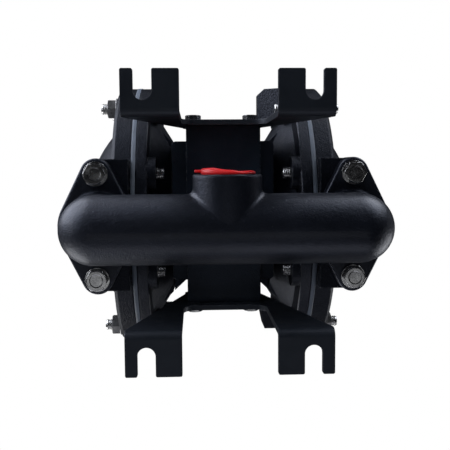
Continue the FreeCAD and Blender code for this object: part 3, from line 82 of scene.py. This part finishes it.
# ------------------------------------------------------------------ node helpers
class Graph:
    """A material's node tree with short calls for the nodes used here."""

    def __init__(self, name):
        self.mat = bpy.data.materials.new(name)
        self.mat.use_nodes = True
        self.tree = self.mat.node_tree
        self.tree.nodes.clear()
        self.out = self.tree.nodes.new("ShaderNodeOutputMaterial")
        self.bsdf = self.tree.nodes.new("ShaderNodeBsdfPrincipled")
        self.link(self.bsdf.outputs[0], self.out.inputs["Surface"])
        self.coords = self.tree.nodes.new("ShaderNodeTexCoord").outputs["Object"]

    def link(self, a, b):
        self.tree.links.new(a, b)

    def plug(self, value, socket):
        if isinstance(value, (int, float)):
            socket.default_value = value
        elif isinstance(value, (tuple, list)):
            socket.default_value = tuple(value) + ((1.0,) if len(value) == 3 and len(socket.default_value) == 4 else ())
        else:
            self.link(value, socket)

    def set(self, **values):
        for k, v in values.items():
            self.plug(v, self.bsdf.inputs[k.replace("_", " ")])

    def noise(self, scale, detail=2.0, rough=0.5, vector=None, distortion=0.0):
        n = self.tree.nodes.new("ShaderNodeTexNoise")
        n.inputs["Scale"].default_value = scale
        n.inputs["Detail"].default_value = detail
        n.inputs["Roughness"].default_value = rough
        n.inputs["Distortion"].default_value = distortion
        self.link(vector or self.coords, n.inputs["Vector"])
        return n.outputs["Fac"]

    def cells(self, scale, feature="F1", vector=None, out="Distance"):
        n = self.tree.nodes.new("ShaderNodeTexVoronoi")
        n.feature = feature
        n.inputs["Scale"].default_value = scale
        self.link(vector or self.coords, n.inputs["Vector"])
        return n.outputs[out]

    def stretch(self, x, y, z, vector=None):
        n = self.tree.nodes.new("ShaderNodeMapping")
        n.inputs["Scale"].default_value = (x, y, z)
        self.link(vector or self.coords, n.inputs["Vector"])
        return n.outputs[0]

    def shift(self, x, y, z, vector=None):
        n = self.tree.nodes.new("ShaderNodeMapping")
        n.inputs["Location"].default_value = (x, y, z)
        self.link(vector or self.coords, n.inputs["Vector"])
        return n.outputs[0]

    def ramp(self, value, lo, hi, a=0.0, b=1.0, smooth=False):
        n = self.tree.nodes.new("ShaderNodeMapRange")
        n.interpolation_type = "SMOOTHSTEP" if smooth else "LINEAR"
        self.plug(value, n.inputs["Value"])
        n.inputs["From Min"].default_value = lo
        n.inputs["From Max"].default_value = hi
        n.inputs["To Min"].default_value = a
        n.inputs["To Max"].default_value = b
        return n.outputs[0]

    def math(self, op, a, b=0.0, c=0.0):
        n = self.tree.nodes.new("ShaderNodeMath")
        n.operation = op
        for v, s in zip((a, b, c), n.inputs):
            self.plug(v, s)
        return n.outputs[0]

    def mix(self, fac, a, b):
        n = self.tree.nodes.new("ShaderNodeMix")
        n.data_type = "RGBA"
        self.plug(fac, n.inputs[0])
        self.plug(a, n.inputs[6])
        self.plug(b, n.inputs[7])
        return n.outputs[2]

    def xyz(self, vector=None):
        n = self.tree.nodes.new("ShaderNodeSeparateXYZ")
        self.link(vector or self.coords, n.inputs[0])
        return n.outputs

    def edge(self, radius, lo=0.02, hi=0.35, samples=8):
        """1 along outer and inner edges, 0 on even surfaces."""
        bevel = self.tree.nodes.new("ShaderNodeBevel")
        bevel.samples = samples
        bevel.inputs["Radius"].default_value = radius
        geo = self.tree.nodes.new("ShaderNodeNewGeometry")
        d = self.tree.nodes.new("ShaderNodeVectorMath")
        d.operation = "DOT_PRODUCT"
        self.link(bevel.outputs[0], d.inputs[0])
        self.link(geo.outputs["Normal"], d.inputs[1])
        return self.ramp(self.math("SUBTRACT", 1.0, d.outputs["Value"]), lo, hi)

    def soft_normal(self, radius, samples=8):
        bevel = self.tree.nodes.new("ShaderNodeBevel")
        bevel.samples = samples
        bevel.inputs["Radius"].default_value = radius
        return bevel.outputs[0]

    def bump(self, height, distance, strength=1.0, normal=None):
        n = self.tree.nodes.new("ShaderNodeBump")
        n.inputs["Strength"].default_value = strength
        n.inputs["Distance"].default_value = distance
        self.plug(height, n.inputs["Height"])
        if normal is not None:
            self.link(normal, n.inputs["Normal"])
        return n.outputs[0]


# ------------------------------------------------------------------ materials
def casting(name, edge_wear_and_highlight=0.5, thread=None, soft=0.0013, gloss=1.0, seam=None, painted_light_tone=(1, 1, 1)):
    """Sand-textured aluminium casting under semi-gloss black powder coat.
    thread = ((x, z) of a port's axis, core radius, pitch): its bore gets bare machined threads.
    seam = height of the mould's parting plane: a faint flash line with a few painted glints along it, and just below it
    pale flakes that are partly worn coat and partly painted glints."""
    g = Graph(name)
    cloud = g.noise(38, 3, 0.55)
    patch = g.noise(9, 2, 0.5)
    dark, light = (0.0030, 0.0038, 0.0062), (0.0058, 0.0070, 0.0108)
    # painted_light_tone multiplies the base tones; above one it paints light, giving a lighter copy of the casting.
    base = g.mix(g.ramp(cloud, 0.35, 0.7), tuple(c * k for c, k in zip(dark, painted_light_tone)), tuple(c * k for c, k in zip(light, painted_light_tone)))
    dust = g.ramp(g.noise(210, 4, 0.7), 0.60, 0.78, 0.0, 0.35)
    base = g.mix(dust, base, (0.028, 0.030, 0.043))
    # Bright specks: painted glints, standing in for the sparkle of the sand grain in highlights.
    speck = g.ramp(g.cells(330), 0.055, 0.035)
    keep = g.ramp(g.noise(55, 1), 0.60, 0.66)
    base = g.mix(g.math("MULTIPLY", g.math("MULTIPLY", speck, keep), 0.55), base, (0.52, 0.52, 0.56))
    # Pale patches on edges: partly chipped coat, partly painted edge highlight.
    edge = g.edge(0.0011, 0.03, 0.28)
    chip = g.ramp(g.math("ADD", g.noise(420, 3, 0.65), g.math("MULTIPLY", patch, 0.25)), 0.60, 0.72)
    worn_edge_and_highlight = g.math("MULTIPLY", g.math("MULTIPLY", edge, chip), edge_wear_and_highlight)
    base = g.mix(worn_edge_and_highlight, base, (0.30, 0.30, 0.32))
    rough = g.ramp(g.noise(120, 3, 0.6), 0.3, 0.75, 0.30, 0.47)
    rough = g.math("ADD", rough, g.math("MULTIPLY", dust, 0.2))
    grain = g.noise(1050, 3, 0.6)
    peel = g.noise(430, 2, 0.55)
    lump = g.noise(75, 2, 0.5)
    coarse = 1.0 if seam is None else g.ramp(g.xyz()[0], -0.03, 0.03, 1.0, 0.5)
    height = g.math("ADD", g.math("MULTIPLY", grain, coarse), g.math("ADD", g.math("MULTIPLY", peel, 0.40), g.math("MULTIPLY", lump, 0.6)))
    if seam is not None:
        off = g.math("ABSOLUTE", g.math("SUBTRACT", g.xyz()[2], seam))
        line = g.ramp(off, 0.0011, 0.0002, smooth=True)
        ragged = g.ramp(g.noise(300, 3, 0.7), 0.40, 0.62)
        height = g.math("ADD", height, g.math("MULTIPLY", g.math("MULTIPLY", line, ragged), 1.1))
        # Painted glints: bright spots along the flash line.
        glint = g.math("MULTIPLY", g.math("MULTIPLY", line, g.ramp(g.noise(520, 2, 0.6), 0.60, 0.68)), g.ramp(g.noise(26, 1), 0.50, 0.58))
        base = g.mix(g.math("MULTIPLY", glint, 0.8), base, (0.34, 0.34, 0.37))
        # Pale flakes just below the flash line: partly worn coat, partly painted glints.
        low = g.ramp(g.math("ABSOLUTE", g.math("SUBTRACT", g.xyz()[2], seam - 0.0016)), 0.0022, 0.0003, smooth=True)
        patchy = g.ramp(g.noise(21, 2, 0.6), 0.50, 0.62, smooth=True)
        flake_and_glint = g.math("MULTIPLY", g.math("MULTIPLY", low, patchy), g.ramp(g.noise(760, 3, 0.7), 0.56, 0.66, 0.0, 0.5))
        base = g.mix(flake_and_glint, base, (0.20, 0.205, 0.23))
    normal = g.bump(height, 0.00050, 0.85, g.soft_normal(soft))
    metallic = g.math("MULTIPLY", worn_edge_and_highlight, 0.7)
    if thread is not None:
        (tx, tz), core, pitch = thread
        x, y, z = g.xyz()
        dx = g.math("SUBTRACT", x, tx)
        dz = g.math("SUBTRACT", z, tz)
        r = g.math("SQRT", g.math("ADD", g.math("MULTIPLY", dx, dx), g.math("MULTIPLY", dz, dz)))
        inside = g.math("MULTIPLY", g.ramp(r, core + 0.0006, core + 0.0002), g.ramp(y, -0.0145, -0.0155))
        angle = g.math("DIVIDE", g.math("ARCTAN2", dz, dx), 2 * math.pi)
        turns = g.math("ADD", g.math("DIVIDE", y, pitch), angle)
        tooth = g.math("PINGPONG", turns, 0.5)
        wind = g.bump(g.math("MULTIPLY", tooth, 2.0), 0.0009, 1.0)
        n = g.tree.nodes.new("ShaderNodeMix")
        n.data_type = "VECTOR"
        g.plug(inside, n.inputs[0])
        g.link(normal, n.inputs[4])
        g.link(wind, n.inputs[5])
        normal = n.outputs[1]
        # Bare thread painted light on the crests and dark in the roots: painted highlight and painted shade.
        base = g.mix(inside, base, g.mix(tooth, (0.16, 0.16, 0.17), (0.52, 0.52, 0.54)))
        metallic = g.math("MAXIMUM", metallic, inside)
        rough = g.math("ADD", g.math("MULTIPLY", rough, g.math("SUBTRACT", 1.0, g.math("MULTIPLY", inside, 0.4))), 0.0)
    g.set(Base_Color=base, Roughness=rough, Normal=normal, Metallic=metallic)
    g.set(Specular_IOR_Level=0.55 * gloss, Specular_Tint=(0.72, 0.79, 1.0), Coat_Weight=0.30 * gloss * gloss, Coat_Roughness=0.28)
    g.set(Coat_Tint=(0.86, 0.90, 1.0))
    return g.mat


def sheet_black(name):
    """Satin powder coat on bent sheet: finer grain and scuffs."""
    g = Graph(name)
    cloud = g.noise(30, 4, 0.6)
    base = g.mix(g.ramp(cloud, 0.3, 0.7), (0.0062, 0.0082, 0.0118), (0.0106, 0.0132, 0.0180))
    scratch = g.noise(1.0, 3, 0.6, g.stretch(900, 60, 60), 0.3)
    scuff = g.math("MULTIPLY", g.ramp(scratch, 0.64, 0.74), g.ramp(g.noise(24, 2), 0.54, 0.66))
    base = g.mix(g.math("MULTIPLY", scuff, 0.55), base, (0.11, 0.11, 0.125))
    # Pale edges: painted edge highlight along every edge, stronger where the coat is chipped.
    edge = g.edge(0.0009, 0.03, 0.25)
    chip = g.ramp(g.noise(500, 3, 0.65), 0.50, 0.66)
    worn_edge_and_highlight = g.math("MULTIPLY", edge, g.ramp(chip, 0, 1, 0.15, 0.75))
    base = g.mix(worn_edge_and_highlight, base, (0.20, 0.20, 0.22))
    rough = g.ramp(g.noise(90, 3, 0.6), 0.3, 0.75, 0.40, 0.56)
    rough = g.math("ADD", rough, g.math("MULTIPLY", scuff, -0.08))
    height = g.math("ADD", g.math("MULTIPLY", g.noise(1500, 2), 0.4), g.noise(420, 2, 0.5))
    normal = g.bump(height, 0.00009, 0.5, g.soft_normal(0.0006))
    g.set(Base_Color=base, Roughness=rough, Normal=normal)
    g.set(Specular_IOR_Level=0.5, Specular_Tint=(0.76, 0.83, 1.0), Coat_Weight=0.10, Coat_Roughness=0.4)
    return g.mat


def zinc(name, tone=1.0, rough_lo=0.16, rough_hi=0.34, dish=None, dark=0.25):
    """Bright zinc plated steel with forging and turning marks.
    dish = (|x|, |y|, radius): upright bolts at those places have a shallow dish pressed in their heads."""
    g = Graph(name)
    cloud = g.noise(150, 4, 0.6)
    base = g.mix(g.ramp(cloud, 0.3, 0.72), (0.46 * tone, 0.46 * tone, 0.47 * tone), (0.78 * tone, 0.78 * tone, 0.77 * tone))
    stain = g.ramp(g.noise(240, 3, 0.6), 0.60, 0.80, 0.0, dark)
    base = g.mix(stain, base, (0.20 * tone, 0.19 * tone, 0.18 * tone))
    # Near-white edges: painted edge highlight.
    edge = g.edge(0.0004, 0.03, 0.3)
    base = g.mix(g.math("MULTIPLY", edge, 0.5), base, (0.95, 0.95, 0.95))
    rough = g.ramp(g.noise(200, 3, 0.6), 0.3, 0.75, rough_lo, rough_hi)
    fine = g.noise(1.0, 2, 0.5, g.stretch(1400, 1400, 500))
    height = g.math("ADD", g.math("MULTIPLY", fine, 0.6), g.noise(600, 2, 0.5))
    normal = g.bump(height, 0.00006, 0.5, g.soft_normal(0.00035))
    if dish is not None:
        x, y, z = g.xyz()
        dx = g.math("SUBTRACT", g.math("ABSOLUTE", x), dish[0])
        dy = g.math("SUBTRACT", g.math("ABSOLUTE", y), dish[1])
        r = g.math("SQRT", g.math("ADD", g.math("MULTIPLY", dx, dx), g.math("MULTIPLY", dy, dy)))
        step = g.ramp(r, dish[2] - 0.0004, dish[2] + 0.0004, smooth=True)
        normal = g.bump(step, 0.00028, 1.0, normal)
        # Dark ring at the dish's step: painted shade in the crease.
        ring = g.ramp(g.math("ABSOLUTE", g.math("SUBTRACT", r, dish[2])), 0.0005, 0.0001)
        base = g.mix(g.math("MULTIPLY", ring, 0.30), base, (0.10, 0.10, 0.11))
    g.set(Base_Color=base, Roughness=rough, Normal=normal, Metallic=1.0)
    return g.mat


def rubber(name, a, b, rough=0.6, sheen=0.0):
    g = Graph(name)
    base = g.mix(g.ramp(g.noise(80, 4, 0.6), 0.3, 0.7), a, b)
    height = g.math("ADD", g.noise(1200, 2), g.math("MULTIPLY", g.noise(260, 2), 0.7))
    g.set(Base_Color=base, Roughness=g.ramp(g.noise(160, 3), 0.3, 0.7, rough - 0.08, rough + 0.1),
          Normal=g.bump(height, 0.0001, 0.45, g.soft_normal(0.0004)))
    g.set(Specular_IOR_Level=0.4)
    return g.mat


def turned_metal(name, a, b, axis, rough_lo=0.14, rough_hi=0.3, groove=0.00003):
    """Machined surface: fine rings round an axis, slightly uneven colour."""
    g = Graph(name)
    base = g.mix(g.ramp(g.noise(60, 4, 0.6), 0.3, 0.7), a, b)
    s = [40, 40, 40]
    s["xyz".index(axis)] = 2600
    rings = g.noise(1.0, 2, 0.6, g.stretch(*s))
    base = g.mix(g.math("MULTIPLY", rings, 0.25), base, tuple(0.5 * v for v in a))
    g.set(Base_Color=base, Roughness=g.ramp(rings, 0.3, 0.7, rough_lo, rough_hi), Metallic=1.0,
          Normal=g.bump(rings, groove, 0.6, g.soft_normal(0.0003)))
    return g.mat


def plastic(name, a, b, rough_lo, rough_hi, speck=0.0, soft=0.0):
    g = Graph(name)
    base = g.mix(g.ramp(g.noise(70, 3, 0.6), 0.3, 0.7), a, b)
    # Lighter edges: painted edge highlight.
    edge = g.edge(0.0008, 0.02, 0.3)
    base = g.mix(g.math("MULTIPLY", edge, 0.25), base, tuple(min(1.0, v * 1.6 + 0.12) for v in b))
    height = g.math("ADD", g.noise(900, 2), g.math("MULTIPLY", g.noise(200, 2), 1.2))
    g.set(Base_Color=base, Roughness=g.ramp(g.noise(240, 3), 0.3, 0.7, rough_lo, rough_hi),
          Normal=g.bump(height, 0.00006, 0.4, g.soft_normal(0.0004)))
    if soft:
        g.set(Subsurface_Weight=soft, Subsurface_Radius=(0.004, 0.0012, 0.0008))
        g.bsdf.inputs["Subsurface Scale"].default_value = 0.5
    return g.mat


def sintered(name):
    """Porous bronze disc."""
    g = Graph(name)
    grain = g.cells(1500)
    base = g.mix(g.ramp(grain, 0.1, 0.6), (0.50, 0.34, 0.16), (0.16, 0.10, 0.05))
    g.set(Base_Color=base, Roughness=0.55, Metallic=0.85, Normal=g.bump(grain, -0.0004, 1.0))
    return g.mat


def brushed_plate(name):
    g = Graph(name)
    streak = g.noise(1.0, 3, 0.6, g.stretch(60, 60, 2600))
    base = g.mix(g.ramp(streak, 0.3, 0.7), (0.42, 0.42, 0.43), (0.66, 0.66, 0.67))
    g.set(Base_Color=base, Roughness=g.ramp(streak, 0.3, 0.7, 0.25, 0.42), Metallic=1.0,
          Normal=g.bump(streak, 0.00004, 0.6, g.soft_normal(0.0003)))
    return g.mat


PORT_Z = (0.028, 0.302)
looks = {
    "cast_black": casting("black_casting"),
    "bracket_black": sheet_black("black_sheet"),
    "bolt_steel": zinc("zinc_plate"),
    "diaphragm_rubber": rubber("grey_rubber", (0.085, 0.105, 0.135), (0.13, 0.155, 0.20), 0.55),
    "seal_rubber": rubber("black_rubber", (0.012, 0.012, 0.013), (0.03, 0.03, 0.03), 0.5),
    "gasket_fibre": rubber("fibre_sheet", (0.06, 0.07, 0.066), (0.13, 0.14, 0.13), 0.8),
    "plate_steel": turned_metal("turned_plate", (0.50, 0.50, 0.51), (0.66, 0.66, 0.67), "x"),
    "shaft_steel": turned_metal("ground_shaft", (0.62, 0.62, 0.64), (0.78, 0.78, 0.80), "x", 0.08, 0.18, 0.00001),
    "bronze": turned_metal("turned_brass", (0.60, 0.40, 0.16), (0.74, 0.54, 0.25), "y", 0.18, 0.34),
    "seat_plastic": plastic("seat_plastic", (0.62, 0.60, 0.54), (0.74, 0.72, 0.67), 0.38, 0.55),
    "ball_white": plastic("ball_white", (0.80, 0.80, 0.77), (0.90, 0.90, 0.88), 0.25, 0.38),
    "valve_metal": turned_metal("valve_metal", (0.52, 0.53, 0.55), (0.68, 0.69, 0.71), "x"),
    "plate_blank": brushed_plate("blank_plate"),
    "plug_red": plastic("red_plastic", (0.72, 0.010, 0.014), (0.86, 0.022, 0.026), 0.32, 0.48, soft=0.25),
}
special = {
    "lower_manifold": casting("lower_manifold_casting", thread=((0.0, PORT_Z[0]), 0.01515, 0.00231), soft=0.003, seam=PORT_Z[0]),
    "upper_manifold": casting("upper_manifold_casting", thread=((0.0, PORT_Z[1]), 0.01515, 0.00231), soft=0.003, seam=PORT_Z[1]),
    "left_fluid_cap": casting("fluid_cap_casting", gloss=0.46),
    "right_fluid_cap": casting("fluid_cap_casting_right", gloss=0.46),
    "left_air_cap": casting("air_cap_casting", gloss=0.50),
    "right_air_cap": casting("air_cap_casting_right", gloss=0.72),
    # The centre casting gets lighter, greener base tones: painted light, a lit copy of the casting.
    "centre_body": casting("centre_casting", gloss=0.62, painted_light_tone=(1.5, 1.95, 2.0)),
    "manifold_bolts": zinc("flange_bolt_zinc", dish=(0.08450, 0.03450, 0.0042)),
    "chamber_nuts": zinc("dark_nut", 0.52, 0.24, 0.42, dark=0.5),
    "silencer_disc": sintered("sintered_bronze"),
}

slot_of = {s["node"]: s["material_slot"] for s in frame["record"]["subparts"]}
for name, obj in nodes.items():
    mat = special.get(name) or looks[slot_of[name]]
    mesh = obj.data
    if not obj.material_slots:
        raise SystemExit("no material slot on " + name)
    for s in obj.material_slots:
        s.link = "OBJECT"
        s.material = mat


# ------------------------------------------------------------------ pieces made here
def lathe(name, rings, origin, axis, side, mat, body=None, steps=96, shape=None, closed=False):
    """Turn (radius, height) rings round an axis; shape(p, r, h) may move each point (in metres)."""
    mesh = bpy.data.meshes.new(name)
    bm = bmesh.new()
    loops = []
    for r, h in rings:
        if r <= 1e-6:
            p = Vector(origin) + Vector(axis) * h
            loops.append([bm.verts.new(shape(p, r, h) if shape else p)])
            continue
        loop = []
        for i in range(steps):
            a = 2 * math.pi * i / steps
            p = Vector(origin) + Vector(axis) * h + Vector(side) * r * math.cos(a) + Vector(axis).cross(Vector(side)) * r * math.sin(a)
            loop.append(bm.verts.new(shape(p, r, h) if shape else p))
        loops.append(loop)
    pairs = list(zip(loops[:-1], loops[1:]))
    if closed:
        pairs.append((loops[-1], loops[0]))
    for a, b in pairs:
        if len(a) == 1 and len(b) == 1:
            continue
        for i in range(steps):
            j = (i + 1) % steps
            if len(a) == 1:
                bm.faces.new((a[0], b[i], b[j]))
            elif len(b) == 1:
                bm.faces.new((a[i], b[0], a[j]))
            else:
                bm.faces.new((a[i], b[i], b[j], a[j]))
    bmesh.ops.recalc_face_normals(bm, faces=bm.faces)
    for f in bm.faces:
        f.smooth = True
    bm.to_mesh(mesh)
    bm.free()
    mesh.materials.append(mat)
    obj = bpy.data.objects.new(name, mesh)
    scene.collection.objects.link(obj)
    if body:
        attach(obj, body)
    return obj


def rounded_bar(name, lo, hi, r, mat, body, warp=None):
    """A bar with rounded edges between two corners."""
    mesh = bpy.data.meshes.new(name)
    bm = bmesh.new()
    bmesh.ops.create_cube(bm, size=1.0)
    for v in bm.verts:
        v.co = Vector([lo[k] + (v.co[k] + 0.5) * (hi[k] - lo[k]) for k in range(3)])
    bmesh.ops.bevel(bm, geom=bm.edges[:], offset=r, segments=3, profile=0.5, affect="EDGES")
    bmesh.ops.subdivide_edges(bm, edges=[e for e in bm.edges if e.calc_length() > 0.003], cuts=5, use_grid_fill=True)
    if warp:
        for v in bm.verts:
            v.co = warp(v.co)
    for f in bm.faces:
        f.smooth = True
    bm.to_mesh(mesh)
    bm.free()
    mesh.materials.append(mat)
    obj = bpy.data.objects.new(name, mesh)
    scene.collection.objects.link(obj)
    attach(obj, body)
    return obj


# The soft transport plug: thick and lifted at the left, thin at the right, as pushed in by hand
FACE = -0.034


def lip(x):
    """How far the flange stands off the port's face at this x."""
    t = min(1.0, max(0.0, (x + 0.011) / 0.020))
    return 0.0039 - 0.0019 * t * t * (3 - 2 * t) + 0.00016 * math.sin(x * 520.0)


def plug_shape(p, r, h):
    out = h / 0.0039
    if h <= 0.0:
        return p
    wave = 1.0 + 0.010 * math.sin(3 * math.atan2(p.z - 0.028, p.x) + 0.6)
    x = p.x * wave + 0.0004
    z = 0.028 + (p.z - 0.028) * wave
    return Vector((x, FACE - 0.00005 - out * lip(x), z))


plug_rings = [(0.0, -0.0008), (0.0139, -0.0008), (0.0140, -0.0030), (0.0143, -0.0036), (0.0156, -0.0037), (0.0163, -0.0031),
              (0.0165, -0.0024), (0.0165, -0.0004), (0.0166, 0.00002), (0.0169, 0.0002), (0.01715, 0.0007), (0.0172, 0.0013), (0.0171, 0.0021),
              (0.0168, 0.0029), (0.0163, 0.0035), (0.0157, 0.0038), (0.0150, 0.0039), (0.0143, 0.0037), (0.0138, 0.0033),
              (0.0134, 0.0026), (0.0131, 0.0018), (0.0125, 0.0013), (0.0115, 0.0011), (0.0100, 0.0011), (0.0094, 0.0014),
              (0.0086, 0.0014), (0.0080, 0.0011), (0.0060, 0.0011), (0.0030, 0.0011), (0.0024, 0.0016), (0.0, 0.0017)]
red = looks["plug_red"]
plug_body = lathe("transport_plug", plug_rings, (0, FACE, PORT_Z[0]), (0, -1, 0), (1, 0, 0), red, "plug", 128, plug_shape)
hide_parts("inlet_plug")


def bar_warp(co):
    return Vector((co.x, FACE - (FACE - co.y) / 0.0039 * lip(co.x), co.z))


for piece in (
        rounded_bar("plug_grip_bar", (-0.0125, FACE - 0.0034, 0.0266), (0.0130, FACE - 0.0006, 0.0294), 0.0008, red, "plug", bar_warp),
        rounded_bar("plug_pull_tab", (-0.0203, FACE - 0.0029, 0.0252), (-0.0150, FACE - 0.0010, 0.0308), 0.0007, red, "plug", None)):
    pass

# The diaphragms: an air side and a wet side sheet each, held at the rim, carried by the plates in the middle
CZ = 0.165
grey = looks["diaphragm_rubber"]


def smooth_rings(points, step=0.0016):
    out = []
    for (r0, h0), (r1, h1) in zip(points[:-1], points[1:]):
        n = max(1, int(round(math.hypot(r1 - r0, h1 - h0) / step)))
        out += [(r0 + (r1 - r0) * k / n, h0 + (h1 - h0) * k / n) for k in range(n)]
    out.append(points[-1])
    return out


air_side = [(0.0062, 0.0675), (0.0062, 0.0645), (0.048, 0.0645), (0.056, 0.0637), (0.063, 0.0626), (0.070, 0.0615), (0.078, 0.0605), (0.1013, 0.0605)]
wet_side = [(0.1013, 0.0605), (0.1013, 0.0635), (0.0746, 0.0635), (0.0705, 0.0645), (0.0635, 0.0656), (0.0565, 0.0667), (0.049, 0.0675), (0.0062, 0.0675)]
for side, sx in (("left", -1), ("right", 1)):
    for part, outline, a, b in (("air", air_side, 0.0606, 0.0644), ("wet", wet_side, 0.0636, 0.0674)):
        piece = lathe(side + "_diaphragm_" + part, smooth_rings(outline), (0, 0, CZ), (sx, 0, 0), (0, 0, 1), grey, None, 128)
        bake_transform(piece)
        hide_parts(side + "_diaphragm")

# ------------------------------------------------------------------ stage and light
def area(name, place, target, size, power, colour=(1, 1, 1), size_y=None):
    data = bpy.data.lights.new(name, "AREA")
    data.energy = power
    data.color = colour
    data.shape = "RECTANGLE"
    data.size = size
    data.size_y = size_y or size
    obj = bpy.data.objects.new(name, data)
    scene.collection.objects.link(obj)
    obj.location = place
    obj.rotation_euler = (Vector(target) - Vector(place)).to_track_quat("-Z", "Y").to_euler()
    obj.visible_camera = False
    return obj


MID = Vector((0.0, 0.0, 0.16))


def softbox(name, direction, distance, size, power, colour=(1, 1, 1), size_y=None, target=(0, 0, 0.05)):
    d = Vector(direction).normalized()
    return area(name, Vector(target) + d * distance, target, size, power, colour, size_y)


# A large one on the left, to the port side and a little above: the highlight on the pipe's left end
softbox("left_key", (-0.70, -0.60, 0.15), 0.9, 1.0, 11, (0.88, 0.91, 1.0))
softbox("right_key", (0.62, -0.75, 0.10), 0.9, 0.7, 3.4, (0.88, 0.92, 1.0))
# A broad weak one from the rear and below: the dim band along the pipe
softbox("rear_band", (-0.12, 0.88, -0.47), 0.9, 1.3, 1.35, (0.90, 0.91, 1.0), 0.42)
# A weak card at the left: the soft glow on the pipe's left end and the slanted lug
softbox("left_card", (-0.95, -0.10, -0.30), 0.9, 0.45, 0.5, (0.90, 0.93, 1.0))
# A card below and behind, seen in the flat heads of the rear bolts
softbox("low_card", (0.0, 0.30, -0.95), 1.0, 0.75, 0.32, (0.95, 0.97, 1.0), 0.30)
# Weak light from the camera's side, for the flat sheet
low = softbox("low_fill", (-0.2, -0.3, -0.95), 1.2, 0.7, 1.6, (0.92, 0.95, 1.0))
low.visible_glossy = False
# For the views of the sides, the back and the top, all well away from the zenith
softbox("rear_left", (-0.62, 0.76, 0.20), 1.2, 0.8, 5.2, target=MID)
softbox("rear_right", (0.85, 0.50, 0.20), 1.2, 0.7, 3.4, target=MID)
softbox("front_right", (0.60, -0.80, 0.22), 1.3, 0.6, 1.8, target=MID)
# Diffuse light only, for the plug and the pale parts seen from below
fill = softbox("soft_fill", (-0.15, -0.80, -0.55), 0.9, 0.5, 2.2, (1.0, 1.0, 1.0))
fill.visible_glossy = False

world = bpy.data.worlds.new("studio")
scene.world = world
world.use_nodes = True
wt = world.node_tree
wt.nodes.clear()
w_out = wt.nodes.new("ShaderNodeOutputWorld")
w_mix = wt.nodes.new("ShaderNodeMixShader")
w_seen = wt.nodes.new("ShaderNodeBackground")
w_light = wt.nodes.new("ShaderNodeBackground")
w_path = wt.nodes.new("ShaderNodeLightPath")
w_dir = wt.nodes.new("ShaderNodeTexCoord")
w_xyz = wt.nodes.new("ShaderNodeSeparateXYZ")
w_ramp = wt.nodes.new("ShaderNodeMapRange")
w_ramp.interpolation_type = "SMOOTHSTEP"
for k, v in (("From Min", -0.25), ("From Max", 0.35), ("To Min", 0.006), ("To Max", 0.13)):
    w_ramp.inputs[k].default_value = v
# darker again overhead, so upright walls seen from below stay black
w_top = wt.nodes.new("ShaderNodeMapRange")
w_top.interpolation_type = "SMOOTHSTEP"
for k, v in (("From Min", 0.50), ("From Max", 0.86), ("To Min", 1.0), ("To Max", 0.16)):
    w_top.inputs[k].default_value = v
w_mul = wt.nodes.new("ShaderNodeMath")
w_mul.operation = "MULTIPLY"
wt.links.new(w_dir.outputs["Generated"], w_xyz.inputs[0])
wt.links.new(w_xyz.outputs["Z"], w_ramp.inputs["Value"])
wt.links.new(w_xyz.outputs["Z"], w_top.inputs["Value"])
wt.links.new(w_ramp.outputs[0], w_mul.inputs[0])
wt.links.new(w_top.outputs[0], w_mul.inputs[1])
wt.links.new(w_mul.outputs[0], w_light.inputs["Strength"])
w_seen.inputs["Color"].default_value = (1, 1, 1, 1)
w_seen.inputs["Strength"].default_value = 1.0
w_light.inputs["Color"].default_value = (0.88, 0.91, 1.0, 1)
wt.links.new(w_path.outputs["Is Camera Ray"], w_mix.inputs[0])
wt.links.new(w_light.outputs[0], w_mix.inputs[1])
wt.links.new(w_seen.outputs[0], w_mix.inputs[2])
wt.links.new(w_mix.outputs[0], w_out.inputs["Surface"])

scene.view_settings.view_transform = "Standard"
scene.view_settings.look = "None"

# The floor under the feet, seen only from above: the photograph looks up from below it
floor_mesh = bpy.data.meshes.new("floor")
fm = bmesh.new()
bmesh.ops.create_grid(fm, x_segments=24, y_segments=24, size=2.0)
fm.to_mesh(floor_mesh)
fm.free()
floor = bpy.data.objects.new("floor", floor_mesh)
scene.collection.objects.link(floor)
floor.location = (0, 0, -0.0002)
fg = Graph("pale_floor")
fx, fy, fz = fg.xyz()
away = fg.math("SQRT", fg.math("ADD", fg.math("MULTIPLY", fx, fx), fg.math("MULTIPLY", fy, fy)))
fg.set(Base_Color=fg.mix(fg.noise(3, 3), (0.30, 0.30, 0.30), (0.33, 0.33, 0.33)), Roughness=0.7)
fg.set(Emission_Color=(0.975, 0.98, 1.0), Emission_Strength=fg.ramp(away, 0.20, 1.5, 0.68, 1.12, smooth=True))
clear = fg.tree.nodes.new("ShaderNodeBsdfTransparent")
two = fg.tree.nodes.new("ShaderNodeMixShader")
side = fg.tree.nodes.new("ShaderNodeNewGeometry")
fg.link(side.outputs["Backfacing"], two.inputs[0])
fg.link(fg.bsdf.outputs[0], two.inputs[1])
fg.link(clear.outputs[0], two.inputs[2])
fg.link(two.outputs[0], fg.out.inputs["Surface"])
floor_mesh.materials.append(fg.mat)
floor.visible_shadow = False
floor.visible_diffuse = False
floor.visible_glossy = False
